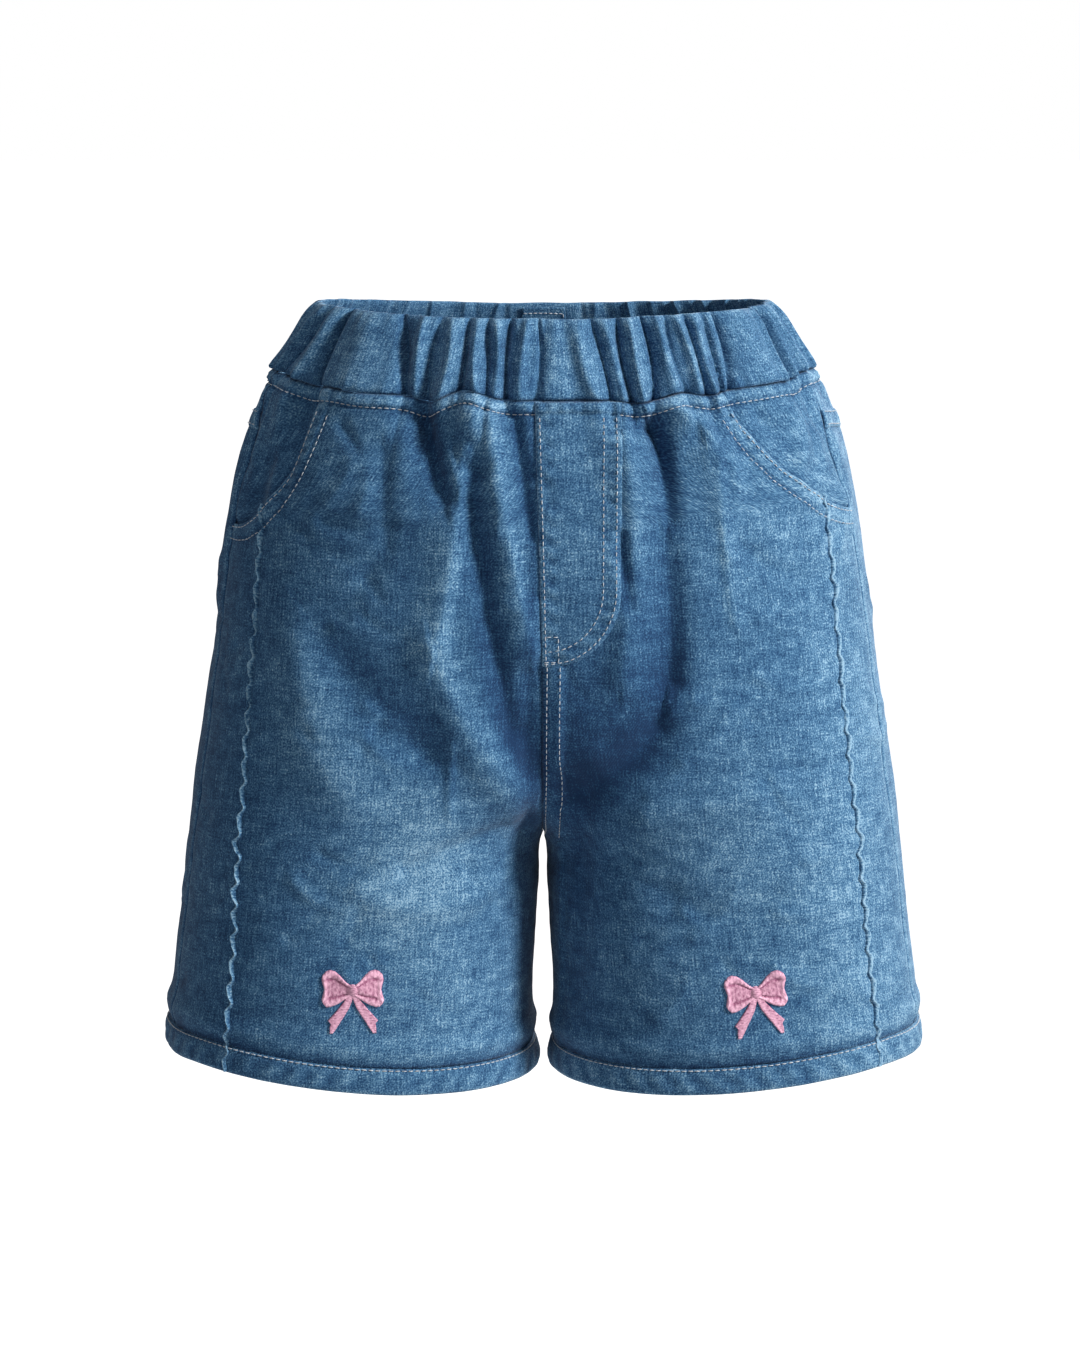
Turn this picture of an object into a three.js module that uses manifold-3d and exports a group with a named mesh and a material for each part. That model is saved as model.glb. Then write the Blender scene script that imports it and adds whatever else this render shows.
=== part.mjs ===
// A child's pull-on denim shorts, hollow and filled out as if worn, in millimetres.
// +X is the wearer's left, -Y the front, +Z up; the origin is the middle of the waist, half way up the waistband.
// Every panel is a wall of cloth on one shared form: two leg rings that merge above the crotch into the hips.
import * as THREE from "three";
import { mergeVertices } from "three/addons/utils/BufferGeometryUtils.js";
import Module from "manifold-3d";

const wasm = await Module();
wasm.setup();

// Driving sizes.
const WALL = 1.6; // denim with its seam plies
const SEAM_GAP = 0.3; // between neighbouring pieces
const LAYER = 0.8; // a piece that lies on a panel
const SEAM_FRONT_Z = -20; // the waist seam at the centre front and back
const SEAM_SIDE_RISE = 10; // how much higher it runs at the sides
const BAND_TOP_Z = 18; // the waistband's top edge at the centre front
const BAND_SIDE_RISE = 5;
const HEM_Z = -363; // the hem's edge at the front and the inseam
const HEM_SIDE_RISE = 12;
const HEM_DEPTH = 13.5;
const LENGTH = SEAM_FRONT_Z - HEM_Z;
const RIDGE_DEPTH = 5.6; // the turned-down seam allowance under the waistband
const RIDGE_HEIGHT = 1.0;
const FULLNESS = 0.045; // how much squarer than an ellipse a ring is

// Rings from the waist seam to the hem: the outer side's distance from the centre, where the leg's ring would
// reach past the centre if the other leg weren't sewn to it, and the depth to the front and the back.
const RINGS = [
  { z: 10, outer: 127, inner: -127, front: 80, back: 80 },
  { z: -10, outer: 132.5, inner: -132.5, front: 84, back: 84 },
  { z: -20, outer: 137.5, inner: -137.5, front: 87, back: 88 },
  { z: -50, outer: 149.3, inner: -150, front: 94, back: 99 },
  { z: -90, outer: 157.5, inner: -144, front: 97, back: 107 },
  { z: -140, outer: 164.8, inner: -93, front: 97, back: 111 },
  { z: -190, outer: 172.4, inner: -50, front: 94, back: 109 },
  { z: -220, outer: 176.8, inner: -22, front: 91, back: 104 },
  { z: -243, outer: 179.6, inner: 0, front: 89, back: 100 },
  { z: -270, outer: 182.4, inner: 2.6, front: 87, back: 96 },
  { z: -325, outer: 189.2, inner: 5.6, front: 85, back: 91 },
  { z: -365, outer: 193, inner: 4, front: 84, back: 89 },
];

// Seam lines on the front, by their distance from the centre.
const SIDE_SEAM = [
  { z: -8, x: 129.5 },
  { z: -38, x: 139.5 },
  { z: -80, x: 151.5 },
  { z: -198, x: 168.5 },
  { z: -337, x: 186.5 },
  { z: -365, x: 189 },
];
const RUFFLE_SEAM = {
  [-1]: [{ z: -50, x: 135.8 }, { z: -81, x: 138 }, { z: -354, x: 157.5 }],
  [1]: [{ z: -50, x: 134.8 }, { z: -81, x: 138 }, { z: -354, x: 166.4 }],
};

// Pocket mouths: where each starts on the waist seam, its depth at the side seam and how square its curve is.
const POCKETS = {
  [-1]: { start: 0.292, depth: 75, square: 2.5 },
  [1]: { start: 0.231, depth: 68, square: 1.8 },
};
const POCKET_EDGE = 7; // the turned edge with its two rows of stitching
const YOKE = { side: 28, centre: 55, seam: 8 }; // depth of the back yoke, and its felled seam

// The mock fly: its width on each side of the centre, where its curve starts and where it ends.
const FLY = { left: 35, right: 3, bend: -110, foot: -147 };

// Folds of the gathered waistband: degrees round from the centre front at the top edge and at the seam.
const WAIST_FOLDS = [
  { top: -70, seam: -76, height: 1.6, spread: 3 },
  { top: -64, seam: -70, height: -2.6, spread: 3 },
  { top: -54, seam: -52, height: -3, spread: 3 },
  { top: -45, seam: -41, height: 1.8, spread: 6 },
  { top: -36, seam: -29, height: -3.2, spread: 4 },
  { top: -29, seam: -26, height: 1.8, spread: 2.4 },
  { top: -22, seam: -21, height: 2.2, spread: 2.4 },
  { top: -18.5, seam: -17, height: -2.4, spread: 2 },
  { top: -16, seam: -13.5, height: 1.8, spread: 2 },
  { top: -13.5, seam: -11.5, height: -1.6, spread: 1.8 },
  { top: -11.5, seam: -9.5, height: 2.2, spread: 2 },
  { top: -8, seam: -7.5, height: -2.8, spread: 3 },
  { top: -4, seam: -5, height: 1.6, spread: 2 },
  { top: -1.5, seam: -2, height: -1.6, spread: 2 },
  { top: 8, seam: 10.5, height: 1.6, spread: 2.6 },
  { top: 11.5, seam: 13.5, height: -1.4, spread: 2 },
  { top: 14.5, seam: 16, height: 1.2, spread: 2 },
  { top: 18, seam: 17.8, height: -2.2, spread: 2 },
  { top: 20.5, seam: 19.6, height: 2.4, spread: 2 },
  { top: 24, seam: 22, height: -2.6, spread: 2.4 },
  { top: 27.5, seam: 27, height: 2, spread: 2.4 },
  { top: 30, seam: 29, height: -1.4, spread: 2 },
  { top: 32.5, seam: 31.5, height: 1.8, spread: 2 },
  { top: 35.5, seam: 33.5, height: -1.6, spread: 2 },
  { top: 39, seam: 36, height: 1.4, spread: 2.4 },
  { top: 44, seam: 39, height: -2.8, spread: 2.6 },
  { top: 54, seam: 51, height: 1.6, spread: 6 },
  { top: 63, seam: 60, height: 1.4, spread: 2 },
  { top: 66.5, seam: 63.5, height: -2.4, spread: 2.4 },
  { top: 71, seam: 69, height: 1.8, spread: 3 },
];
// The back is gathered in the same way, with even valleys and ridges of uneven size on each side of a flat centre.
const BACK_FOLDS = { first: 81, last: 168, step: 7.25, height: 2.1, spread: 2.7 };
for (const side of [-1, 1]) {
  let index = 0;
  for (let at = BACK_FOLDS.first; at < BACK_FOLDS.last; at += BACK_FOLDS.step) {
    const sway = Math.sin(index * 2.4 + side);
    WAIST_FOLDS.push({
      top: side * (at + 1.6 * sway),
      seam: side * (at - 1.4 * sway),
      height: (index % 2 ? 1 : -1) * BACK_FOLDS.height * (1 + 0.4 * Math.sin(index * 1.7 - side)),
      spread: BACK_FOLDS.spread * (1 + 0.25 * sway),
    });
    index += 1;
  }
}
WAIST_FOLDS.sort((one, other) => one.top - other.top);

// Large folds of the body, as curves through three points. Front and back give x and z, and the sides y and z.
const BODY_FOLDS = [
  { seen: "front", from: [-55, -20], via: [-52, -48], to: [-45, -80], height: -8, width: 12 },
  { seen: "front", from: [-37, -18], via: [-33, -34], to: [-24, -50], height: 6.5, width: 13 },
  { seen: "front", from: [-24, -50], via: [-14, -95], to: [-5, -138], height: 5, width: 11 },
  { seen: "front", from: [-31, -58], via: [-25, -112], to: [-20, -182], height: -5.5, width: 13 },
  { seen: "front", from: [-40, -60], via: [-45, -110], to: [-55, -160], height: 4, width: 11 },
  { seen: "front", from: [-55, -160], via: [-40, -195], to: [-12, -226], height: 5, width: 13 },
  { seen: "front", from: [-107, -142], via: [-75, -167], to: [-42, -208], height: -5, width: 16 },
  { seen: "front", from: [-112, -170], via: [-92, -220], to: [-62, -250], height: 3, width: 26 },
  { seen: "front", from: [-78, -52], via: [-66, -72], to: [-52, -92], height: 3, width: 13 },
  { seen: "front", from: [-13, -22], via: [-10, -50], to: [-6, -78], height: -3, width: 11 },
  { seen: "front", from: [57, -20], via: [61, -55], to: [63, -95], height: -6.5, width: 11 },
  { seen: "front", from: [63, -95], via: [72, -135], to: [62, -170], height: -6.5, width: 14 },
  { seen: "front", from: [62, -170], via: [46, -196], to: [22, -216], height: -5.5, width: 16 },
  { seen: "front", from: [66, -16], via: [72, -30], to: [84, -56], height: 4, width: 12 },
  { seen: "front", from: [84, -56], via: [87, -95], to: [90, -134], height: 3, width: 11 },
  { seen: "front", from: [42, -70], via: [47, -112], to: [42, -160], height: 3, width: 11 },
  { seen: "front", from: [31, -87], via: [36, -112], to: [38, -137], height: -2, width: 11 },
  { seen: "front", from: [100, -210], via: [80, -222], to: [55, -228], height: -2, width: 12 },
  { seen: "front", from: [110, -260], via: [85, -268], to: [60, -266], height: -2, width: 12 },
  { seen: "right", from: [-52, -16], via: [-50, -40], to: [-46, -70], height: -3, width: 11 },
  { seen: "right", from: [-26, -20], via: [-22, -60], to: [-16, -120], height: 3, width: 12 },
  { seen: "left", from: [-40, -14], via: [-36, -36], to: [-30, -62], height: -2.5, width: 11 },
  { seen: "left", from: [10, -20], via: [14, -70], to: [10, -130], height: 2.5, width: 13 },
  { seen: "back", from: [-62, -20], via: [-66, -50], to: [-74, -92], height: -5, width: 12 },
  { seen: "back", from: [-30, -20], via: [-34, -52], to: [-30, -88], height: 3.5, width: 12 },
  { seen: "back", from: [58, -20], via: [64, -58], to: [70, -104], height: -5, width: 12 },
  { seen: "back", from: [30, -20], via: [30, -46], to: [36, -76], height: 3, width: 11 },
  { seen: "back", from: [-98, -176], via: [-62, -206], to: [-18, -222], height: -4, width: 16 },
  { seen: "back", from: [-92, -204], via: [-58, -232], to: [-22, -246], height: 3, width: 14 },
  { seen: "back", from: [104, -170], via: [66, -204], to: [20, -220], height: -4.5, width: 16 },
  { seen: "back", from: [96, -200], via: [62, -230], to: [24, -244], height: 3, width: 14 },
  { seen: "back", from: [-120, -240], via: [-112, -290], to: [-116, -340], height: 2.5, width: 18 },
  { seen: "back", from: [116, -230], via: [108, -280], to: [112, -335], height: 2.5, width: 18 },
];
const FOLD_AT_SEAM = 0.35; // the share of a body fold that reaches into the waist seam
const FOLD_STEPS = 12;

const smooth = (low, high, value) => THREE.MathUtils.smoothstep(value, low, high);
const mix = THREE.MathUtils.lerp;
const bell = (offset, width) => Math.exp(-((offset / width) ** 2));

// A value of a table at a height, on a smooth curve through its rows; the rows run downwards.
function valueAt(table, key, z) {
  let i = 0;
  while (i < table.length - 2 && z < table[i + 1].z) i += 1;
  const slope = (j) => {
    const before = table[Math.max(j - 1, 0)];
    const after = table[Math.min(j + 1, table.length - 1)];
    return (after[key] - before[key]) / (after.z - before.z);
  };
  const [start, end] = [table[i], table[i + 1]];
  const span = end.z - start.z;
  const s = THREE.MathUtils.clamp((z - start.z) / span, 0, 1);
  const straight = (1 + 2 * s) * (1 - s) ** 2 * start[key] + s * s * (3 - 2 * s) * end[key];
  return straight + span * (s * (1 - s) ** 2 * slope(i) - s * s * (1 - s) * slope(i + 1));
}

const seamZ = (share) => SEAM_FRONT_Z + SEAM_SIDE_RISE * Math.sin(Math.PI * share) ** 2;
const hemZ = (share) => HEM_Z + HEM_SIDE_RISE * smooth(0.08, 0.32, share) * smooth(0, 0.45, 1 - share);
const squarer = (angle) => 1 + FULLNESS * Math.sin(2 * angle) ** 2;

// The ring at a height: its middle and half width, its depths, and the angle where the centre line cuts it.
function ringAt(z) {
  const [outer, inner, front, back] = ["outer", "inner", "front", "back"].map((key) => valueAt(RINGS, key, z));
  const ring = { middle: (outer + inner) / 2, half: (outer - inner) / 2, front, back, cut: Math.PI };
  if (inner < 0) {
    ring.cut = Math.PI / 2;
    for (let turn = 0; turn < 8; turn += 1) {
      ring.cut = Math.acos(Math.max(-1, -ring.middle / (ring.half * squarer(ring.cut))));
    }
  }
  return ring;
}

// The angle round a ring, from the outer side; only its ends follow the cut, so that the side seam runs straight.
const angleAt = (ring, share) => (share - 0.5) * Math.PI + (2 * share - 1) ** 3 * (ring.cut - Math.PI / 2);

// A point of the plain form: an ellipse, a little squared, from the centre front (share 0) to the centre back (1).
function formPoint(side, share, z) {
  const ring = ringAt(z);
  const angle = angleAt(ring, share);
  const x = ring.middle + ring.half * Math.cos(angle) * squarer(angle);
  const y = (angle < 0 ? ring.front : ring.back) * Math.sin(angle) * squarer(angle);
  return new THREE.Vector3(side * x, y, z);
}

function formNormal(side, share, z) {
  const STEP = 0.002;
  const DROP = 1;
  const from = Math.max(share - STEP, 0);
  const to = Math.min(share + STEP, 1);
  const along = formPoint(side, to, z).sub(formPoint(side, from, z));
  const down = formPoint(side, share, z - DROP).sub(formPoint(side, share, z + DROP));
  return down.cross(along).multiplyScalar(side).normalize();
}

// How near a point comes to a fold's curve, as a bell across it.
function foldHeight(fold, across, z) {
  const point = new THREE.Vector2(across, z);
  const [from, via, to] = [fold.from, fold.via, fold.to].map((pair) => new THREE.Vector2(...pair));
  const pull = via.multiplyScalar(2).sub(from.clone().add(to).multiplyScalar(0.5));
  const curve = new THREE.QuadraticBezierCurve(from, pull, to);
  let nearest = Infinity;
  for (let step = 0; step < FOLD_STEPS; step += 1) {
    const start = curve.getPoint(step / FOLD_STEPS);
    const run = curve.getPoint((step + 1) / FOLD_STEPS).sub(start);
    const part = THREE.MathUtils.clamp(point.clone().sub(start).dot(run) / run.lengthSq(), 0, 1);
    nearest = Math.min(nearest, start.addScaledVector(run, part).distanceTo(point));
  }
  return fold.height * bell(nearest, fold.width);
}

// The large folds at a point of the form, each counted only on the face it is seen on.
function bodyFolds(side, share, z) {
  const place = formPoint(side, share, z);
  const angle = angleAt(ringAt(z), share);
  const faces = {
    front: [smooth(0.05, 0.45, -Math.sin(angle)), place.x],
    back: [smooth(0.05, 0.45, Math.sin(angle)), place.x],
    right: [side < 0 ? smooth(0.4, 0.8, Math.cos(angle)) : 0, place.y],
    left: [side > 0 ? smooth(0.4, 0.8, Math.cos(angle)) : 0, place.y],
  };
  return BODY_FOLDS.reduce((sum, fold) => {
    const [weight, across] = faces[fold.seen];
    return weight ? sum + weight * foldHeight(fold, across, z) : sum;
  }, 0);
}

// The gathers, each a bell that leans from its place at the top edge to its place at the seam.
function gathers(degrees, up, widen = 0) {
  return WAIST_FOLDS.reduce((sum, fold) => {
    const turn = degrees - mix(fold.seam, fold.top, up);
    return sum + fold.height * bell(turn - 360 * Math.round(turn / 360), fold.spread + widen);
  }, 0);
}

// How far the cloth stands off the plain form.
function relief(side, share, z) {
  const below = seamZ(share) - z;
  const folds = bodyFolds(side, share, z) * mix(FOLD_AT_SEAM, 1, smooth(0, 16, below));
  const pleats = gathers(side * 180 * share, 0, 2) * Math.exp(-Math.max(below, 0) / 28);
  const ridge = RIDGE_HEIGHT * (1 - smooth(RIDGE_DEPTH, RIDGE_DEPTH + 1.2, below));
  return folds + pleats + ridge;
}

// The cloth's outer surface, moved out by a lift and kept on its own side of the centre seam.
function clothAt(side, share, z, lift = 0) {
  const place = formPoint(side, share, z);
  const normal = formNormal(side, share, z);
  normal.z *= smooth(-2, 14, seamZ(share) - z); // so that the waist seam keeps its height
  place.addScaledVector(normal.normalize(), relief(side, share, z) + lift);
  place.x = side * Math.max(side * place.x, SEAM_GAP / 2);
  return place;
}

// The share of the way round that lies at x on the front, for seams placed by their distance from the centre.
function shareAtX(x, z) {
  const ring = ringAt(z);
  let angle = -Math.PI / 2;
  for (let turn = 0; turn < 12; turn += 1) {
    const cosine = (Math.abs(x) - ring.middle) / (ring.half * squarer(angle));
    angle = -Math.acos(THREE.MathUtils.clamp(cosine, -1, 1));
  }
  let share = 0.5 + angle / ring.cut / 2;
  for (let turn = 0; turn < 12; turn += 1) {
    const slope = Math.PI + 6 * (2 * share - 1) ** 2 * (ring.cut - Math.PI / 2);
    share -= (angleAt(ring, share) - angle) / slope;
  }
  return Math.max(share, 0);
}

const onFront = (x, z, lift) => clothAt(x < 0 ? -1 : 1, shareAtX(x, z), z, lift);

// The height of a row that lies a number of millimetres down the cloth, spread over the true length there.
const rowZ = (share, down) => mix(seamZ(share), hemZ(share), down / LENGTH);

// Millimetres along a row, as a share of the way round.
function alongRow(share, z, millimetres) {
  const STEP = 0.005;
  const from = THREE.MathUtils.clamp(share - STEP, 0, 1 - 2 * STEP);
  return (2 * STEP * millimetres) / formPoint(1, from, z).distanceTo(formPoint(1, from + 2 * STEP, z));
}

const sideShare = (down) => shareAtX(valueAt(SIDE_SEAM, "x", rowZ(0.4, down)), rowZ(0.4, down));
const ruffleShare = (side, down) => shareAtX(valueAt(RUFFLE_SEAM[side], "x", rowZ(0.3, down)), rowZ(0.3, down));

// The pocket's mouth at a depth under the waist seam: a rounded curve from its start to the side seam.
function pocketShare(side, below) {
  const { start, depth, square } = POCKETS[side];
  const end = sideShare(below);
  const fall = Math.min(Math.max(below, 0) / depth, 1);
  return end - (end - start) * (1 - fall ** square) ** (1 / square);
}

// The depth under the waist seam where the pocket's mouth crosses a given share.
function pocketDepth(side, share) {
  const { start, depth, square } = POCKETS[side];
  const end = sideShare(depth);
  const left = THREE.MathUtils.clamp((end - share) / (end - start), 0, 1);
  return depth * (1 - left ** square) ** (1 / square);
}

// Turns a mesh the right way round if its volume comes out negative.
function facingOut(positions, index) {
  const corner = (i) => new THREE.Vector3().fromArray(positions, 3 * index[i]);
  let volume = 0;
  for (let i = 0; i < index.length; i += 3) volume += corner(i).dot(corner(i + 1).cross(corner(i + 2)));
  if (volume < 0) index.reverse();
  const geometry = new THREE.BufferGeometry();
  geometry.setAttribute("position", new THREE.Float32BufferAttribute(positions, 3));
  geometry.setIndex(index);
  geometry.computeVertexNormals();
  return geometry;
}

const evenly = (count) => Array.from({ length: count + 1 }, (unused, i) => i / count);

// A wall: a grid of points on its outer face, the same grid on its inner face, and a rim all round.
function wall(across, down, pointAt, lifts) {
  const width = across.length;
  const size = width * down.length;
  const positions = [];
  const index = [];
  for (const lift of lifts) {
    for (const v of down) for (const u of across) positions.push(...pointAt(u, v, lift).toArray());
  }
  const quad = (a, b, c, d) => index.push(a, b, c, a, c, d);
  for (let row = 0; row < down.length - 1; row += 1) {
    for (let column = 0; column < width - 1; column += 1) {
      const at = row * width + column;
      quad(at, at + 1, at + width + 1, at + width);
      quad(size + at, size + at + width, size + at + width + 1, size + at + 1);
    }
  }
  const rim = [];
  for (let column = 0; column < width - 1; column += 1) rim.push(column);
  for (let row = 0; row < down.length - 1; row += 1) rim.push(row * width + width - 1);
  for (let column = width - 1; column > 0; column -= 1) rim.push((down.length - 1) * width + column);
  for (let row = down.length - 1; row > 0; row -= 1) rim.push(row * width);
  rim.forEach((at, i) => {
    const next = rim[(i + 1) % rim.length];
    quad(next, at, size + at, size + next);
  });
  return facingOut(positions, index);
}

// A closed band: one loop of profile points at each column, joined all the way round.
function closedBand(columns, profile, pointAt) {
  const positions = [];
  const index = [];
  columns.forEach((column) => profile.forEach((step) => positions.push(...pointAt(column, step).toArray())));
  columns.forEach((unused, i) => {
    const next = (i + 1) % columns.length;
    profile.forEach((step, j) => {
      const above = (j + 1) % profile.length;
      const [a, b] = [i * profile.length + j, i * profile.length + above];
      const [c, d] = [next * profile.length + above, next * profile.length + j];
      index.push(a, b, c, a, c, d);
    });
  });
  return facingOut(positions, index);
}

const DENIM = { color: 0x4a749d, roughness: 0.92 };
const DENIM_FADED = { color: 0x7397b8, roughness: 0.92 };
const DENIM_DEEP = { color: 0x35597f, roughness: 0.94 };
const PINK_THREAD = { color: 0xd78aa8, roughness: 0.6 };
const shorts = new THREE.Group();

function add(name, geometry, look) {
  const mesh = new THREE.Mesh(geometry, new THREE.MeshStandardMaterial({ ...look, metalness: 0 }));
  mesh.name = name;
  shorts.add(mesh);
}

const sideName = (side) => (side < 0 ? "right" : "left");

// Rows of a panel: millimetres under the waist seam, closer together over the seam ridge and the gathers.
const TOP_ROWS = [SEAM_GAP / 2, RIDGE_DEPTH, RIDGE_DEPTH + 1.2, 15, 25, 36];
const HEM_TOP = LENGTH - HEM_DEPTH - SEAM_GAP;
const LOWER_TOP = 84; // under the pockets and the yoke, where all panels share their rows
const LOWER_ROWS = evenly(16).map((part) => mix(LOWER_TOP, HEM_TOP, part));

// How far down the pocket's mouth meets the ruffled seam.
function cornerDepth(side) {
  let down = POCKETS[side].depth;
  for (let turn = 0; turn < 30; turn += 1) down = pocketDepth(side, ruffleShare(side, down));
  return down;
}

// A panel's point: a share between its two edges, half the seam gap in from each, at a depth.
function between(side, from, to, u, down, lift) {
  const gap = (share) => alongRow(share, rowZ(share, down), SEAM_GAP / 2);
  const share = mix(from + gap(from), to - gap(to), u);
  return clothAt(side, share, rowZ(share, down), lift);
}

// Front panels, from the centre seam to the pocket's mouth and, under it, to the ruffled seam.
const FRONT_COLUMNS = evenly(17);
const frontRows = (side) => [...TOP_ROWS, 45, 53, cornerDepth(side), 72, ...LOWER_ROWS];
function frontPoint(side, u, down, lift) {
  const inPocket = down < cornerDepth(side) - 0.01;
  const edge = inPocket ? pocketShare(side, down) : ruffleShare(side, down);
  return between(side, 0, edge, u, down, lift);
}
for (const side of [-1, 1]) {
  const geometry = wall(
    FRONT_COLUMNS,
    frontRows(side),
    (u, down, lift) => frontPoint(side, u, down, lift),
    [0, -WALL],
  );
  add(`front_panel_${sideName(side)}`, geometry, DENIM);
}

// Front side panels, between the ruffled seam and the side seam under the pocket.
for (const side of [-1, 1]) {
  const corner = cornerDepth(side);
  const geometry = wall(
    evenly(5),
    [0, LOWER_TOP / 2, ...LOWER_ROWS],
    (u, row, lift) => {
      const under = mix(ruffleShare(side, corner), sideShare(POCKETS[side].depth), u);
      const top = pocketDepth(side, under) + SEAM_GAP;
      const down = row < LOWER_TOP ? mix(top, LOWER_TOP, row / LOWER_TOP) : row;
      return between(side, ruffleShare(side, down), sideShare(down), u, down, lift);
    },
    [0, -WALL],
  );
  add(`front_side_panel_${sideName(side)}`, geometry, DENIM);
}

// Hip pieces that show inside the pockets, set back behind the mouth and sewn in flush at the side seam.
const POCKET_LAP = 10; // how far the hip piece runs on behind the front
const POCKET_SET_BACK = 0.8;
for (const side of [-1, 1]) {
  const rows = [SEAM_GAP / 2, RIDGE_DEPTH, RIDGE_DEPTH + 1.2, 16, 28, 40, 52, 62, POCKETS[side].depth + 8];
  const geometry = wall(
    evenly(6),
    rows,
    (u, down, lift) => {
      const mouth = pocketShare(side, down);
      const from = mouth - alongRow(mouth, rowZ(mouth, down), POCKET_LAP);
      const { depth } = POCKETS[side];
      const flush = smooth(0.5, 1, u) * (1 - smooth(depth - 34, depth - 14, down));
      const setBack = (WALL + POCKET_SET_BACK) * (1 - flush);
      return between(side, from, sideShare(down), u, down, lift - setBack);
    },
    [0, -WALL],
  );
  add(`pocket_hip_piece_${sideName(side)}`, geometry, DENIM_DEEP);
}

// A solid of the boolean library from a mesh, and back.
function toSolid(geometry) {
  return new wasm.Manifold(
    new wasm.Mesh({
      numProp: 3,
      vertProperties: geometry.attributes.position.array,
      triVerts: new Uint32Array(geometry.index.array),
    }),
  );
}
function fromSolid(solid, moved = (point) => point) {
  const { numProp, vertProperties, triVerts } = solid.getMesh();
  const positions = [];
  for (let i = 0; i < vertProperties.length; i += numProp) {
    positions.push(...moved(new THREE.Vector3().fromArray(vertProperties, i)).toArray());
  }
  return facingOut(positions, [...triVerts]);
}

// A layer on the front panels: their own grid moved out, cut to an outline of x and z seen from the front.
function layerOnFront(columns, rows, outline) {
  const sheet = wall(
    columns,
    rows,
    ({ side, u, off = 0 }, down, lift) => frontPoint(side, u, down, lift + off),
    [SEAM_GAP + LAYER, SEAM_GAP],
  );
  const REACH = 200;
  const shape = wasm.Manifold.extrude([outline], REACH).rotate([90, 0, 0]);
  return fromSolid(toSolid(sheet).intersect(shape));
}
const counterClockwise = (outline) =>
  THREE.ShapeUtils.isClockWise(outline.map(([x, z]) => new THREE.Vector2(x, z))) ? outline.reverse() : outline;

// Turned pocket edges: strips with two rows of stitching that follow the mouth on the front panel.
for (const side of [-1, 1]) {
  const mouth = evenly(16).map((part) => {
    const down = mix(RIDGE_DEPTH + 2, cornerDepth(side), Math.sin((part * Math.PI) / 2));
    const point = frontPoint(side, 1, down, 0);
    return new THREE.Vector2(point.x, point.z);
  });
  const inner = mouth.map((point, i) => {
    const run = mouth[Math.min(i + 1, 16)].clone().sub(mouth[Math.max(i - 1, 0)]).normalize();
    return [point.x + side * run.y * POCKET_EDGE, point.y - side * run.x * POCKET_EDGE];
  });
  const outer = mouth.map(({ x, y }, i) => {
    const run = mouth[Math.min(i + 1, 16)].clone().sub(mouth[Math.max(i - 1, 0)]).normalize();
    return [x - side * run.y * 3, y + side * run.x * 3];
  });
  const outline = counterClockwise([...outer, ...inner.reverse()]);
  const columns = FRONT_COLUMNS.slice(12).map((u) => ({ side, u }));
  const rows = frontRows(side).slice(2, 10);
  add(`pocket_edge_${sideName(side)}`, layerOnFront(columns, rows, outline), DENIM_FADED);
}

// Back yokes and back panels, with the yoke's lower edge felled over the panel as a raised band.
const BACK_COLUMNS = evenly(13);
const yokeDepth = (u) => mix(YOKE.side, YOKE.centre, smooth(0, 1, u));
for (const side of [-1, 1]) {
  const geometry = wall(
    BACK_COLUMNS,
    [0, 1, 2, 3, 4, 5, 6],
    (u, row, lift) => {
      const edge = yokeDepth(u) - SEAM_GAP / 2;
      const felled = edge - YOKE.seam;
      const down = [SEAM_GAP / 2, RIDGE_DEPTH, RIDGE_DEPTH + 1.2, 0.55 * felled, felled - 0.8, felled, edge][row];
      const raised = row > 4 && lift === 0 ? LAYER : 0;
      return between(side, sideShare(down), 1, u, down, lift + raised);
    },
    [0, -WALL],
  );
  add(`back_yoke_${sideName(side)}`, geometry, DENIM);
}
for (const side of [-1, 1]) {
  const geometry = wall(
    BACK_COLUMNS,
    [0, LOWER_TOP / 3, (2 * LOWER_TOP) / 3, ...LOWER_ROWS],
    (u, row, lift) => {
      const top = yokeDepth(u) + SEAM_GAP / 2;
      const down = row < LOWER_TOP ? mix(top, LOWER_TOP, row / LOWER_TOP) : row;
      return between(side, sideShare(down), 1, u, down, lift);
    },
    [0, -WALL],
  );
  add(`back_panel_${sideName(side)}`, geometry, DENIM);
}

// Hems: the turned-up double edge of each leg, a closed band a little thicker than the panels above it.
const HEM_PROFILE = [
  { up: HEM_DEPTH, lift: 0 },
  { up: HEM_DEPTH - 1.2, lift: 0.6 },
  { up: 1, lift: 0.6 },
  { up: 0, lift: -0.5 },
  { up: 0.8, lift: -WALL - 0.6 },
  { up: HEM_DEPTH, lift: -WALL - 0.4 },
];
const HEM_COLUMNS = 38;
for (const side of [-1, 1]) {
  const columns = evenly(HEM_COLUMNS).slice(0, -1);
  const geometry = closedBand(columns, HEM_PROFILE, (share, step) =>
    clothAt(side, share, hemZ(share) + step.up, step.lift),
  );
  add(`hem_${sideName(side)}`, geometry, DENIM);
}

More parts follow.
